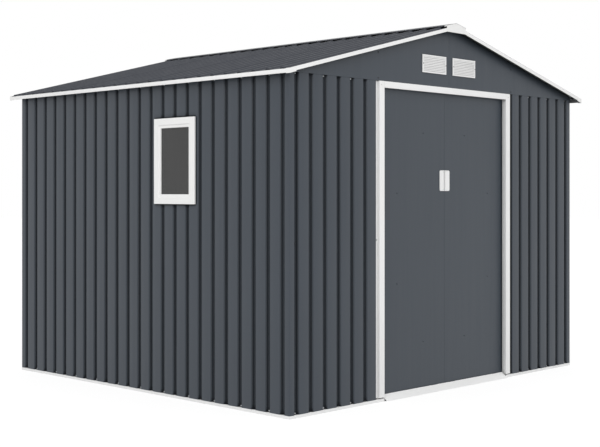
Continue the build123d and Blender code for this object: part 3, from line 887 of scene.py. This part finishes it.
@dataclass
class Roof:
    """The two ribbed slopes, ribs up, with the ridge cap and the white trims and caps round them."""

    ribs: RibProfile
    walls: Walls
    pitch_angle: float = math.radians(14.2)
    clearance: float = 4.8 * MM
    overhang: float = 52 * MM
    gable_lip: float = 4.5 * MM
    ridge_gap: float = 20 * MM
    verge_lap: float = 24 * MM
    verge_lap_end: float = 26 * MM
    verge_lift: float = 1.75 * MM
    ridge_half_width: float = 86 * MM
    ridge_bend: float = 2 * MM
    ridge_flat: float = 4 * MM
    ridge_lip: float = 3.4 * MM
    ridge_notch: float = 2.2 * MM
    ridge_tab: float = 18 * MM
    end_cap_half_width: float = 87 * MM
    end_cap_sheet: float = 1.2 * MM
    end_cap_bend: float = 1.5 * MM
    end_cap_hood: float = 18 * MM
    trim_sheet: float = 1 * MM
    trim_bend: float = 1.5 * MM
    trim_height: float = 20.5 * MM
    trim_return: float = 5 * MM
    trim_flange: float = 22 * MM
    trim_gap: float = 0.05 * MM
    verge_height: float = 19.5 * MM
    verge_end: float = 6 * MM
    corner_eave_leg: float = 24 * MM
    corner_verge_leg: float = 46 * MM

    @property
    def slope(self) -> float:
        """Rise over run."""
        return math.tan(self.pitch_angle)

    @property
    def peak(self) -> float:
        """Height at which the pans' undersides would meet."""
        return self.walls.top + self.clearance + self.slope * self.walls.width / 2

    @property
    def rib_count(self) -> int:
        """Ribs along the eave, one more than along a side wall."""
        return round(self.walls.depth / self.ribs.pitch) + 1

    @property
    def depth(self) -> float:
        """Length of the eave."""
        return self.rib_count * self.ribs.pitch

    @property
    def reach(self) -> float:
        """Level distance from the ridge line to the eave trims."""
        return self.walls.width / 2 + self.overhang

    def under(self, distance: float) -> float:
        """Return the height of the pans' underside at a distance from the ridge line."""
        return self.peak - self.slope * distance

    def crest(self, distance: float) -> float:
        """Return the height of the rib crests at a distance from the ridge line."""
        return self.under(distance) + self.ribs.total / math.cos(self.pitch_angle)

    def place(self, side: int, run: float, rise: float, distance: float) -> Vector:
        """Return a place on a slope.

        Args:
            side: -1 for the left slope and 1 for the right.
            run: Distance along the eave from the roof's front edge.
            rise: Height square to the slope, above the pans' underside.
            distance: Level distance from the ridge line.

        Returns:
            The place in the frame.
        """
        across = distance + rise * math.sin(self.pitch_angle)
        height = self.under(distance) + rise * math.cos(self.pitch_angle)
        return Vector((side * across, run - self.depth / 2, height))

    def slope_place(self, side: int, from_back: bool) -> Place:
        """Choose how a section is laid on a slope.

        Args:
            side: -1 for the left slope and 1 for the right.
            from_back: Whether runs count from the roof's back edge.

        Returns:
            The call that turns a run, a rise and a distance into a place.
        """
        if from_back:
            return lambda run, rise, distance: self.place(side, self.depth - run, rise, distance)
        return lambda run, rise, distance: self.place(side, run, rise, distance)

    @staticmethod
    def along(x: float, z: float, y: float) -> Vector:
        """Return the place of a section point at a distance along the shed."""
        return Vector((x, y, z))

    @staticmethod
    def beside(side: int) -> Place:
        """Return the call that places a section point on one side of the ridge line."""
        return lambda x, z, y: Vector((side * x, y, z))

    def normal(self, side: int) -> Vector:
        """Return the way a slope faces."""
        return Vector((side * math.sin(self.pitch_angle), 0.0, math.cos(self.pitch_angle)))

    def build(self) -> None:
        """Make the panels, the ridge cap, the trims and the caps."""
        self.build_slopes()
        self.build_ridge()
        self.build_end_caps()
        self.build_verge_trims()
        self.build_eave_trims()
        self.build_corner_caps()

    def build_slopes(self) -> None:
        """Make both slopes' panels; the right slope is the left one turned half way round."""
        sheet = BentSheet(self.ribs.sheet)
        low = self.reach - self.ribs.total * math.sin(self.pitch_angle)
        last = self.rib_count - 1
        joints = list(range(self.ribs.panel_ribs - 1, last, self.ribs.panel_ribs))
        for side, node in ((-1, "left_roof_panels"), (1, "right_roof_panels")):
            place = self.slope_place(side, from_back=side > 0)
            mesh = bmesh.new()
            for first_joint, last_joint in zip([None, *joints], [*joints, None]):
                points = self.ribs.outline(
                    0 if first_joint is None else first_joint,
                    last if last_joint is None else last_joint,
                    0.0 if first_joint is None else None,
                    self.depth if last_joint is None else None,
                )
                top = offset_line(self.lap_verges(points), -self.ribs.sheet)
                sheet.add(mesh, top, [low, self.ridge_gap], place)
            for rib in range(self.rib_count):
                self.close_rib(mesh, rib, low, place)
            self.close_gables(mesh, low, place)
            soften(mesh)
            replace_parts(make_piece(node + "_sheet", mesh, ROOF_PAINT, Body.SHED, BACK_COAT), node)

    def lap_verges(self, points: list[Point]) -> list[Point]:
        """Lift a panel's section over the flange of the verge trim where it ends on one.

        Args:
            points: The section.

        Returns:
            The section with its lifted end.
        """
        lift = self.verge_lift
        if points[0][0] == 0.0:
            points = [(0.0, lift), (self.verge_lap, lift), (self.verge_lap_end, 0.0), *points[1:]]
        if points[-1][0] == self.depth:
            lap, end = self.depth - self.verge_lap, self.depth - self.verge_lap_end
            points = [*points[:-1], (end, 0.0), (lap, lift), (self.depth, lift)]
        return points

    def close_rib(self, mesh: BMesh, rib: int, low: float, place: Place) -> None:
        """Close a rib's open end at the eave with a thin plate under the sheet.

        Args:
            mesh: The slope's mesh.
            rib: The rib's number from the slope's first edge.
            low: Distance of the sheet's lower end from the ridge line.
            place: Turns a section point and a distance into a place on the slope.
        """
        centre = self.ribs.centre(rib)
        half = self.ribs.width / 2
        crest = self.ribs.floor / 2
        section = [(-half, 0.0), (half, 0.0), (crest, self.ribs.depth), (-crest, self.ribs.depth)]
        outline = [(centre + run, rise) for run, rise in section]
        add_prism(mesh, outline, (low - self.ribs.sheet, low - 2 * self.ribs.sheet), place)

    def close_gables(self, mesh: BMesh, low: float, place: Place) -> None:
        """Close the gap over both gables with a thin lip under the sheet.

        Args:
            mesh: The slope's mesh.
            low: Distance of the sheet's lower end from the ridge line.
            place: Turns a section point and a distance into a place on the slope.
        """
        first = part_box("front_gable")[0].y + self.depth / 2
        for start in (first, self.depth - first - self.ribs.sheet):
            end = start + self.ribs.sheet
            outline = [(start, -self.gable_lip), (end, -self.gable_lip), (end, 0.0), (start, 0.0)]
            add_prism(mesh, outline, (low, self.ridge_gap), place)

    def ridge_line(self, half_width: float, top: float, foot: float) -> list[Point]:
        """Return the section of a folded sheet over the ridge.

        Args:
            half_width: Where its lips hang.
            top: Height of its narrow flat.
            foot: Height at which the lips end.

        Returns:
            The sharp points from the left lip to the right one.
        """
        shoulder = self.crest(self.ridge_half_width) + self.ridge_notch + self.ridge_lip
        left = [(-half_width, foot), (-half_width, shoulder), (-self.ridge_flat, top)]
        return [*left, *((-x, z) for x, z in reversed(left))]

    def build_ridge(self) -> None:
        """Make the folded ridge cap, whose lips stand on the ribs with a tab on each."""
        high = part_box("ridge_end_caps")[1]
        foot = self.crest(self.ridge_half_width)
        notch = foot + self.ridge_notch
        mesh = bmesh.new()
        points = self.ridge_line(self.ridge_half_width, high.z - self.ribs.sheet, notch)
        inset = high.y - self.end_cap_hood - self.trim_gap
        sheet = BentSheet(self.ribs.sheet, self.ridge_bend)
        sheet.add(mesh, offset_line(points, -self.ribs.sheet), [-inset, inset], self.along)
        for side in (-1, 1):
            inner = side * self.ridge_half_width
            outer = side * (self.ridge_half_width + self.ribs.sheet)
            tab = [(inner, foot), (outer, foot), (outer, notch), (inner, notch)]
            for rib in range(self.rib_count):
                centre = self.ribs.centre(rib) - self.depth / 2
                add_prism(mesh, tab, (centre - self.ridge_tab / 2, centre + self.ridge_tab / 2), self.along)
        soften(mesh)
        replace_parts(make_piece("ridge_cap_sheet", mesh, RIDGE_PAINT, Body.SHED), "ridge_cap")

    def build_end_caps(self) -> None:
        """Make the moulded caps that close the ridge at both gables."""
        low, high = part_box("ridge_end_caps")
        half_width = self.end_cap_half_width - self.end_cap_sheet
        hood = self.ridge_line(half_width, high.z - self.end_cap_sheet, self.crest(half_width))
        outer = offset_line(hood, -self.end_cap_sheet)
        plate = [(-self.end_cap_half_width, low.z), *outer[1:-1], (self.end_cap_half_width, low.z)]
        sheet = BentSheet(self.end_cap_sheet, self.end_cap_bend)
        mesh = bmesh.new()
        for edge, inward in ((low.y, 1), (high.y, -1)):
            sheet.add(mesh, outer, sorted([edge, edge + inward * self.end_cap_hood]), self.along)
            add_prism(mesh, plate, (edge, edge + inward * self.end_cap_sheet), self.along)
        soften(mesh)
        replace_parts(make_piece("ridge_end_caps_moulded", mesh, WHITE_PLASTIC, Body.SHED), "ridge_end_caps")

    def build_verge_trims(self) -> None:
        """Make the folded trims down the slopes at the gables, their flanges under the roof sheet."""
        top = self.ribs.sheet + self.trim_sheet
        face = -self.trim_sheet
        points = [(face, top - self.verge_height), (face, top), (self.trim_flange, top)]
        ends = [self.reach - self.verge_end, self.verge_end]
        sheet = BentSheet(self.trim_sheet, self.trim_bend)
        for node, from_back in (("front_verge_trims", False), ("back_verge_trims", True)):
            mesh = bmesh.new()
            for side in (-1, 1):
                sheet.add(mesh, points, ends, self.slope_place(side, from_back))
            soften(mesh)
            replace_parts(make_piece(node + "_folded", mesh, TRIM_PAINT, Body.SHED), node)

    def build_eave_trims(self) -> None:
        """Make the folded trims under the eaves, with a return along their lower edge."""
        face = self.reach + self.trim_sheet
        bottom = self.under(self.reach) - self.trim_height
        flange = self.reach - self.trim_flange
        points = [
            (flange, self.under(flange) - self.trim_gap),
            (face, self.under(face) - self.trim_gap),
            (face, bottom),
            (self.reach - self.trim_return, bottom),
        ]
        sheet = BentSheet(self.trim_sheet, self.trim_bend)
        mesh = bmesh.new()
        for side in (-1, 1):
            sheet.add(mesh, points, [-self.depth / 2, self.depth / 2], self.beside(side))
        soften(mesh)
        # The eave trims' far side takes the grey back coat, which is also painted shade under the eaves.
        piece = make_piece("eave_trims_folded", mesh, TRIM_PAINT, Body.SHED, BACK_COAT)
        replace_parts(piece, "eave_trims")

    def build_corner_caps(self) -> None:
        """Make the moulded caps where the eave and verge trims meet."""
        low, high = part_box("roof_corner_caps")
        leg_end = self.reach - self.corner_verge_leg
        cover = (self.ribs.sheet + self.trim_sheet) / math.cos(self.pitch_angle)
        drop = self.under(self.reach) - low.z
        top = self.under(self.reach) + cover
        plate = [(self.reach, top), (self.reach, low.z)]
        plate += [(leg_end, self.under(leg_end) - drop), (leg_end, self.under(leg_end) + cover)]
        wing = [(self.reach, low.z), (self.reach, top), (high.x, top), (high.x, low.z)]
        mesh = bmesh.new()
        for side in (-1, 1):
            for edge, inward in ((low.y, 1), (high.y, -1)):
                add_prism(mesh, plate, (edge, edge + inward * self.end_cap_sheet), self.beside(side))
                add_prism(mesh, wing, (edge, edge + inward * self.corner_eave_leg), self.beside(side))
        piece = make_piece("roof_corner_caps_moulded", mesh, WHITE_PLASTIC, Body.SHED)
        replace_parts(piece, "roof_corner_caps")


@dataclass(frozen=True)
class GablePiece:
    """A node on one gable: its box, and -1 for the front gable or 1 for the back one."""

    node: str
    low: Vector
    high: Vector
    facing: int

    @property
    def face(self) -> float:
        """Place of its outer face along the shed."""
        return self.low.y if self.facing < 0 else self.high.y

    @property
    def outward(self) -> Vector:
        """The way its outer face looks."""
        return Vector((0.0, self.facing, 0.0))

    def behind(self, x: float, depth: float, z: float) -> Vector:
        """Return a place at a depth behind its outer face."""
        return Vector((x, self.face - self.facing * depth, z))


def on_gables(kind: str) -> list[GablePiece]:
    """Return the front node and the back node of one kind."""
    ends = (("front_" + kind, -1), ("back_" + kind, 1))
    return [GablePiece(node, *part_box(node), facing) for node, facing in ends]


@dataclass
class Vents:
    """The louvred vents on both gables: a moulded border round overlapping slats."""

    width: float = 213 * MM
    depth: float = 6 * MM
    border: float = 9 * MM
    edge: float = 1.2 * MM
    slats: int = 9
    slot: float = 2.2 * MM
    slat_front: float = 0.8 * MM
    slat_back: float = 3.2 * MM
    slot_depth: float = 5.4 * MM

    def build(self) -> None:
        """Make the vents of each gable as one piece."""
        for pair in on_gables("vents"):
            mesh = bmesh.new()
            for left in (pair.low.x, pair.high.x - self.width):
                self.add_border(mesh, pair, left)
                self.add_slats(mesh, pair, left)
            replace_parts(make_piece(pair.node + "_louvred", mesh, VENT_PLASTIC, Body.SHED), pair.node)

    def add_border(self, mesh: BMesh, pair: GablePiece, left: float) -> None:
        """Add the border of one vent, with softened edges.

        Args:
            mesh: The mesh that gains it.
            pair: The two vents of the gable.
            left: The vent's left side.
        """
        inner = self.border - self.edge
        section = [(0.0, self.depth), (0.0, self.edge), (self.edge, 0.0)]
        section += [(inner, 0.0), (self.border, self.edge), (self.border, self.depth)]
        rings = []
        for inset, depth in section:
            near, far = left + inset, left + self.width - inset
            foot, head = pair.low.z + inset, pair.high.z - inset
            corners = [(near, foot), (far, foot), (far, head), (near, head)]
            rings.append([pair.behind(x, depth, z) for x, z in corners])
        join_rings(mesh, rings, capped=False)

    def add_slats(self, mesh: BMesh, pair: GablePiece, left: float) -> None:
        """Add the slats of one vent, each leaning out over a dark slot below it.

        Args:
            mesh: The mesh that gains them.
            pair: The two vents of the gable.
            left: The vent's left side.
        """
        low, high = pair.low.z + self.border, pair.high.z - self.border
        pitch = (high - low) / self.slats
        outline = []
        for slat in range(self.slats):
            foot = low + slat * pitch
            outline += [
                (self.slot_depth, foot),
                (self.slot_depth, foot + self.slot),
                (self.slat_front, foot + self.slot),
                (self.slat_back, foot + pitch),
            ]
        outline += [(self.depth, high), (self.depth, low)]
        ends = (left + self.border, left + self.width - self.border)
        add_prism(mesh, outline, ends, lambda depth, z, x: pair.behind(x, depth, z))


@dataclass
class DoorFrame:
    """The white door frame: two folded jambs seated in the wall's end grooves, and a header."""

    walls: Walls
    sheet: float = 1 * MM
    bend: float = 1 * MM
    proud: float = 1 * MM
    face_width: float = 42 * MM
    lean: float = 1.5 * MM
    seat: float = 14 * MM
    seat_gap: float = 0.1 * MM
    back: float = 14.8 * MM
    back_flange: float = 58 * MM
    reveal: float = 28 * MM
    hem: float = 3 * MM
    header_flange: float = 28 * MM
    track_gap: float = 2 * MM

    @property
    def front(self) -> float:
        """Place of the front wall's face along the shed."""
        return -self.walls.depth / 2

    def build(self) -> None:
        """Make both jambs and the header."""
        self.build_jamb("door_jamb_left", -1)
        self.build_jamb("door_jamb_right", 1)
        self.build_header()

    def build_jamb(self, node: str, side: int) -> None:
        """Make one jamb, with the weaker painted shade of the base rails' finish where it lies in the groove.

        Args:
            node: The jamb's node.
            side: -1 for the left jamb and 1 for the right.
        """
        low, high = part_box(node)
        half_width = low.x if side > 0 else -high.x
        lip_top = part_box("upper_door_track")[0].z - self.track_gap
        sheet = BentSheet(self.sheet, self.bend)
        mesh = bmesh.new()
        sheet.add(mesh, self.jamb_line(half_width), [low.z, high.z], self.upright(side))
        sheet.add(mesh, self.lip_line(half_width), [low.z, lip_top], self.upright(side))
        soften(mesh)
        # Faces in the groove take the base rails' finish: the same white with weaker painted shade, so that
        # they render lighter.
        for face in mesh.faces:
            face.material_index = int(abs(face.calc_center_median().x) > half_width + self.face_width)
        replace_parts(make_piece(node + "_folded", mesh, JAMB_PAINT, Body.SHED, BASE_PAINT), node)

    def build_header(self) -> None:
        """Make the header between the jambs."""
        low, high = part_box("door_header")
        points = [(self.back, low.z + self.header_flange), (self.back, low.z)]
        points += [(-self.proud, low.z), (-self.proud, high.z)]
        mesh = bmesh.new()
        sheet = BentSheet(self.sheet, self.bend)
        sheet.add(mesh, points, [low.x, high.x], lambda depth, z, x: Vector((x, self.front + depth, z)))
        soften(mesh)
        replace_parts(make_piece("door_header_folded", mesh, WHITE_PAINT, Body.SHED), "door_header")

    def jamb_line(self, half_width: float) -> list[Point]:
        """Return a jamb's section, from its seat in the groove round to the flange behind the wall.

        Args:
            half_width: Half the width of the doorway.

        Returns:
            Its sharp points, across the front and behind the wall's face.
        """
        outer = half_width + self.face_width
        floor = self.walls.ribs.depth - self.sheet - self.seat_gap
        return [
            (outer + self.lean + self.seat, floor),
            (outer + self.lean, floor),
            (outer, -self.proud),
            (half_width, -self.proud),
            (half_width, self.back),
            (half_width + self.back_flange, self.back),
        ]

    def lip_line(self, half_width: float) -> list[Point]:
        """Return the section of the hemmed lip that carries a jamb's reveal on towards the door."""
        lip = [(half_width, self.back + self.seat_gap), (half_width, self.reveal)]
        return [*lip, *((x + self.hem, depth) for x, depth in reversed(lip))]

    def upright(self, side: int) -> Place:
        """Return the call that stands a section point on one side of the doorway."""
        return lambda x, depth, level: Vector((side * x, self.front + depth, level))


@dataclass
class Pulls:
    """The flat moulded pulls on the doors, each with a pocket that slopes in towards the meeting edge."""

    depth: float = 4.5 * MM
    edge: float = 0.9 * MM
    corner: float = 9 * MM
    sharp: float = 1 * MM
    border: float = 5 * MM
    lip: float = 3 * MM
    rim: float = 7 * MM
    pocket: float = 3.4 * MM
    wall: float = 0.6 * MM
    steps: int = 4

    def build(self) -> None:
        """Make both pulls, each on its door."""
        for side, name, body in DOORS:
            low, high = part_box(name + "_pull")
            seam = low.x if side > 0 else -high.x
            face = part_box(name)[0].y
            rings = []
            for loop in self.loops(high.x - low.x, low.z, high.z):
                rings.append([Vector((side * (seam + run), face - proud, z)) for run, z, proud in loop])
            mesh = bmesh.new()
            join_rings(mesh, rings)
            soften(mesh)
            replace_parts(make_piece(name + "_pull_moulded", mesh, PULL_PLASTIC, body), name + "_pull")

    def loops(self, width: float, low: float, high: float) -> list[list[Triple]]:
        """Return the rings of a pull, from its foot on the door over its face to the floor of its pocket.

        Args:
            width: Its width.
            low: Its lower edge.
            high: Its upper edge.

        Returns:
            Rings of points, each with its run from the meeting edge, its height and how proud it stands.
        """
        outline = self.loop((0.0, width), (low, high), self.sharp, self.corner)
        edge = self.edge
        face = self.loop((edge, width - edge), (low + edge, high - edge), self.sharp, self.corner - edge)
        start, end = self.lip, width - self.rim
        mouth = self.loop((start, end), (low + self.border, high - self.border), self.sharp, self.sharp)
        border = self.border + self.wall
        floor = self.loop((start + self.wall, end), (low + border, high - border), self.sharp, self.sharp)
        rings = [[(*point, proud) for point in outline] for proud in (0.0, self.depth - edge)]
        rings += [[(*point, self.depth) for point in loop] for loop in (face, mouth)]
        fall = self.pocket / (end - start)
        rings.append([(run, z, self.depth - fall * (end - run)) for run, z in floor])
        return rings

    def loop(self, runs: Point, levels: Point, near: float, far: float) -> list[Point]:
        """Return a rectangle with rounded corners.

        Args:
            runs: Its ends across the door.
            levels: Its lower and upper edge.
            near: Radius of the corners at the meeting edge.
            far: Radius of the other two corners.

        Returns:
            The points round it.
        """
        centres = [
            (runs[0] + near, levels[0] + near, near),
            (runs[1] - far, levels[0] + far, far),
            (runs[1] - far, levels[1] - far, far),
            (runs[0] + near, levels[1] - near, near),
        ]
        points = []
        for quarter, (run, level, radius) in enumerate(centres):
            for step in range(self.steps + 1):
                angle = math.pi + (quarter + step / self.steps) * math.pi / 2
                points.append((run + radius * math.cos(angle), level + radius * math.sin(angle)))
        return points


@dataclass(frozen=True)
class Screw:
    """A self-tapping screw: a domed head with a recess, on a bonded washer."""

    head_radius: float = 3.2 * MM
    head_height: float = 2.2 * MM
    washer_radius: float = 4.2 * MM
    washer_height: float = 0.8 * MM
    sides: int = 16
    washer_shares: tuple[Point, ...] = ((1.0, 0.0), (1.0, 0.6), (0.9, 1.0))
    head_shares: tuple[Point, ...] = ((1.0, 0.0), (1.0, 0.35), (0.78, 0.8), (0.4, 1.0), (0.28, 0.6))

    def add(self, mesh: BMesh, spot: Vector, facing: Vector) -> None:
        """Add one screw, seated on a face.

        Args:
            mesh: The mesh that gains it.
            spot: Where it goes in.
            facing: The way the face looks.
        """
        lean = Vector((0.0, 0.0, 1.0)).rotation_difference(facing.normalized()).to_matrix().to_4x4()
        seat = Matrix.Translation(spot) @ lean
        profile = [(r * self.washer_radius, h * self.washer_height) for r, h in self.washer_shares]
        for radius_share, height_share in self.head_shares:
            height = self.washer_height + height_share * self.head_height
            profile.append((radius_share * self.head_radius, height))
        turns = [Matrix.Rotation(math.tau * side / self.sides, 4, "Z") for side in range(self.sides)]
        rings = []
        for radius, height in profile:
            rings.append([seat @ turn @ Vector((radius, 0.0, height)) for turn in turns])
        join_rings(mesh, rings)


@dataclass
class Fasteners:
    """All screws of the shed, gathered into one piece for each group of places."""

    walls: Walls
    roof: Roof
    foot_level: float = 23 * MM
    head_level: float = 1701 * MM
    mid_level: float = 861 * MM
    gable_half_width: float = 617 * MM
    gable_levels: Point = (1720 * MM, 1856 * MM)
    frame_level: float = 1686 * MM
    frame_corner_reach: float = 24 * MM
    frame_proud: float = 1 * MM
    roof_distances: Triple = (160 * MM, 660 * MM, 1260 * MM)
    vent_places: tuple[float, ...] = (-240 * MM, -36 * MM, 36 * MM, 240 * MM)
    small: Screw = Screw(2.2 * MM, 1.6 * MM, 2.8 * MM, 0.5 * MM)

    def wall_spots(self) -> list[Spot]:
        """Place the screws in every second groove, at the foot and the head of the walls.

        Returns:
            Their places and the ways they face.
        """
        ribs = self.walls.ribs.panel_ribs
        spots = []
        for panel, _ in self.walls.panels:
            for rib in range(panel * ribs + 1, (panel + 1) * ribs + 1, 2):
                spots.append(self.walls.groove(rib, self.foot_level))
                spots.append(self.walls.groove(rib, self.head_level))
        return spots

    def rail_spots(self) -> list[Spot]:
        """Return the screws into the mid rails, in the groove of each panel joint."""
        joints = [panel * self.walls.ribs.panel_ribs - 1 for panel, _ in self.walls.panels]
        return [self.walls.groove(joint, self.mid_level) for joint in joints]

    def gable_spots(self) -> list[Spot]:
        """Place the screws of both gables.

        Returns:
            Their places and the ways they face.
        """
        spots = []
        for gable in on_gables("gable"):
            for x in (-self.gable_half_width, self.gable_half_width):
                spots += [(gable.behind(x, 0.0, level), gable.outward) for level in self.gable_levels]
        return spots

    def vent_spots(self) -> list[Spot]:
        """Place the small screws beside each vent's slats.

        Returns:
            Their places and the ways they face.
        """
        spots = []
        for pair in on_gables("vents"):
            middle = (pair.low.z + pair.high.z) / 2
            spots += [(pair.behind(x, 0.0, middle), pair.outward) for x in self.vent_places]
        return spots

    def frame_spots(self) -> list[Spot]:
        """Place the screws at the top corners of the door frame.

        Returns:
            Their places and the ways they face.
        """
        low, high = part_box("door_header")
        face = -self.walls.depth / 2 - self.frame_proud
        places = (low.x - self.frame_corner_reach, high.x + self.frame_corner_reach)
        return [(Vector((place, face, self.frame_level)), Vector((0.0, -1.0, 0.0))) for place in places]

    def roof_spots(self) -> list[Spot]:
        """Place the screws along the eaves, purlins and ridge, in every second pan.

        Returns:
            Their places and the ways they face.
        """
        roof = self.roof
        runs = [pan * roof.ribs.pitch for pan in range(1, roof.rib_count, 2)]
        spots = []
        for side in (-1, 1):
            for distance in self.roof_distances:
                places = [roof.place(side, run, roof.ribs.sheet, distance) for run in runs]
                spots += [(place, roof.normal(side)) for place in places]
        return spots

    def build(self) -> None:
        """Make the screws."""
        self.gather("wall_screws", self.wall_spots(), ZINC, Body.SHED)
        self.gather("rail_screws", self.rail_spots(), DARK_SCREW, Body.SHED)
        self.gather("gable_screws", self.gable_spots(), DARK_SCREW, Body.SHED)
        self.gather("vent_screws", self.vent_spots(), DARK_SCREW, Body.SHED, self.small)
        self.gather("frame_screws", self.frame_spots(), WHITE_PAINT, Body.SHED, self.small)
        self.gather("roof_screws", self.roof_spots(), DARK_SCREW, Body.SHED)

    @staticmethod
    def gather(name: str, spots: list[Spot], finish: Finish, body: Body, screw: Screw = Screw()) -> None:
        """Make one piece of many screws.

        Args:
            name: Name of the piece.
            spots: Where the screws go in, and the ways they face.
            finish: Their finish.
            body: The body they move with.
            screw: Their kind.
        """
        mesh = bmesh.new()
        for spot, facing in spots:
            screw.add(mesh, spot, facing)
        for face in mesh.faces:
            face.smooth = True
        make_piece(name, mesh, finish, body)


@dataclass
class Doors:
    """Dressing of the two sliding doors: their screws and the soft seals where they meet."""

    places: Point = (191 * MM, 420 * MM)
    inner_levels: Point = (283 * MM, 1443 * MM)
    outer_levels: Point = (616 * MM, 1109 * MM)
    seal_width: float = 2.4 * MM
    seal_depth: float = 9 * MM
    seal_setback: float = 0.3 * MM
    seal_shares: tuple[Point, ...] = (
        (0.0, 0.0),
        (0.9, 0.0),
        (1.0, 0.05),
        (1.0, 0.8),
        (0.6, 1.0),
        (0.0, 1.0),
    )

    def build(self) -> None:
        """Dress both doors."""
        facing = Vector((0.0, -1.0, 0.0))
        for side, name, body in DOORS:
            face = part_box(name)[0].y
            spots = []
            for place, levels in zip(self.places, (self.inner_levels, self.outer_levels)):
                spots += [(Vector((side * place, face, level)), facing) for level in levels]
            Fasteners.gather(name + "_screws", spots, DOOR_PAINT, body)
            self.build_seal(side, name, body)

    def build_seal(self, side: int, name: str, body: Body) -> None:
        """Make the seal on a door's meeting edge.

        Args:
            side: -1 for the left door and 1 for the right.
            name: The door's node.
            body: The door's body.
        """
        low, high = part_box(name)
        edge = low.x if side > 0 else high.x
        front = low.y + self.seal_setback
        points = []
        for width_share, depth_share in self.seal_shares:
            out = width_share * self.seal_width
            points.append((edge - side * out, front + depth_share * self.seal_depth))
        mesh = bmesh.new()
        add_prism(mesh, points, (low.z, high.z), Walls.stand)
        make_piece(name + "_seal", mesh, DOOR_PAINT, body)


@dataclass
class CarriedNodes:
    """The frame's own nodes that stay in view, with their finishes and softened edges."""

    edge_width: float = 0.4 * MM
    moulded_width: float = 1.2 * MM
    moulded: tuple[str, ...] = ("window_frame",)
    weld_gap: float = 0.01 * MM
    edge_steps: int = 2
    edge_angle: float = math.radians(35)

    def build(self) -> None:
        """Dress every shown node by its slot in the record."""
        for entry in frame["record"]["subparts"]:
            node = frame["nodes"][entry["node"]]
            if node.hide_render:
                continue
            finish = FINISH_OF_NODE.get(node.name, FINISH_OF_SLOT[entry["material_slot"]])
            finish.dress(node)
            self.soften(node)
            log.info("%s: %s", node.name, finish.name)

    def soften(self, node: bpy.types.Object) -> None:
        """Break a node's sharp edges by a small width.

        Args:
            node: The node's object.
        """
        node.modifiers.new("weld", "WELD").merge_threshold = self.weld_gap
        bevel = node.modifiers.new("soft_edges", "BEVEL")
        bevel.width = self.moulded_width if node.name in self.moulded else self.edge_width
        bevel.segments = self.edge_steps
        bevel.limit_method = "ANGLE"
        bevel.angle_limit = self.edge_angle
        bevel.use_clamp_overlap = True
        node.modifiers.new("normals", "WEIGHTED_NORMAL").keep_sharp = False


@dataclass
class Studio:
    """Floor, light and camera."""

    eye: Triple = (-5.4059, -5.2586, 1.1081)
    heading: float = math.radians(45.82)
    lens: float = 71.09
    sensor: float = 36.0
    shift_y: float = -0.05027
    view_depth: float = 200.0
    floor_size: float = 80.0
    floor_bounce: float = 0.8
    floor_glow: float = 0.84
    floor_shadow_share: float = 0.22
    sky: float = 0.98
    lamp_place: Triple = (-5.5, -5.0, 4.5)
    lamp_aim: Triple = (0.0, 0.0, 0.9)
    lamp_width: float = 5.0
    lamp_height: float = 4.0
    lamp_power: float = 120.0

    def build(self) -> None:
        """Set up the stage."""
        bpy.context.scene.view_settings.view_transform = "Standard"
        self.build_camera()
        self.build_floor()
        self.build_world()
        self.build_lamp()

    def build_camera(self) -> None:
        """Stand the camera level at its place, with its lens shifted down."""
        data = bpy.data.cameras.new("camera")
        data.lens = self.lens
        data.sensor_width = self.sensor
        data.shift_y = self.shift_y
        data.clip_end = self.view_depth
        camera = add_object("camera", data)
        camera.location = self.eye
        camera.rotation_euler = (math.pi / 2, 0.0, -self.heading)
        bpy.context.scene.camera = camera

    def build_floor(self) -> None:
        """Lay the pale floor, white to the eye and greyer to bounced light."""
        mesh = bmesh.new()
        bmesh.ops.create_grid(mesh, x_segments=1, y_segments=1, size=self.floor_size / 2)
        data = bpy.data.meshes.new("floor")
        mesh.to_mesh(data)
        mesh.free()
        floor = add_object("floor", data)
        floor.visible_shadow = False
        graph = Graph(bpy.data.materials.new("pale_floor"))
        glow = graph.node("Emission", {"Color": (1.0, 1.0, 1.0, 1.0), "Strength": self.floor_glow})
        cast = graph.node("BsdfDiffuse", {"Color": (*(self.floor_shadow_share,) * 3, 1.0)})
        lit = graph.node("AddShader", {0: glow.outputs[0], 1: cast.outputs[0]})
        dull = graph.node("BsdfDiffuse", {"Color": (*(self.floor_bounce,) * 3, 1.0)})
        mixed = graph.node("MixShader", {0: graph.seen(), 1: dull.outputs[0], 2: lit.outputs[0]})
        data.materials.append(graph.finish(mixed))

    def build_world(self) -> None:
        """Surround the shed with even light from above, white where it is seen."""
        graph = Graph(bpy.data.worlds.new("studio"), "OutputWorld")
        height = graph.node("SeparateXYZ", {0: graph.node("TexCoord").outputs["Generated"]}).outputs[2]
        sky = graph.math("MULTIPLY", graph.math("GREATER_THAN", height, 0.0), self.sky)
        strength = graph.spread(graph.seen(), 0.0, 1.0, sky, 1.0)
        light = graph.node("Background", {"Color": (1.0, 1.0, 1.0, 1.0), "Strength": strength})
        bpy.context.scene.world = graph.finish(light)

    def build_lamp(self) -> None:
        """Hang one wide soft lamp over the near corner."""
        data = bpy.data.lights.new("softbox", "AREA")
        data.shape = "RECTANGLE"
        data.size = self.lamp_width
        data.size_y = self.lamp_height
        data.energy = self.lamp_power
        lamp = add_object("softbox", data)
        lamp.location = self.lamp_place
        aim = Vector(self.lamp_aim) - lamp.location
        lamp.rotation_euler = aim.to_track_quat("-Z", "Y").to_euler()


def main() -> None:
    """Build the shed's looks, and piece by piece."""
    logging.basicConfig(level=logging.INFO, format="%(name)s %(message)s")
    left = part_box("base_rail_left")[0].x
    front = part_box("base_rail_front")[0].y
    low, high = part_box("front_wall_left")
    pitch = -2 * left / FRONT_RIBS
    walls = Walls(RibProfile(pitch), -2 * left, -2 * front, low.z, high.z)
    roof = Roof(RibProfile(pitch, depth=ROOF_RIB_DEPTH), walls)
    walls.build()
    roof.build()
    Vents().build()
    DoorFrame(walls).build()
    Fasteners(walls, roof).build()
    Doors().build()
    Pulls().build()
    CarriedNodes().build()
    Studio().build()


if __name__ == "__main__":
    main()
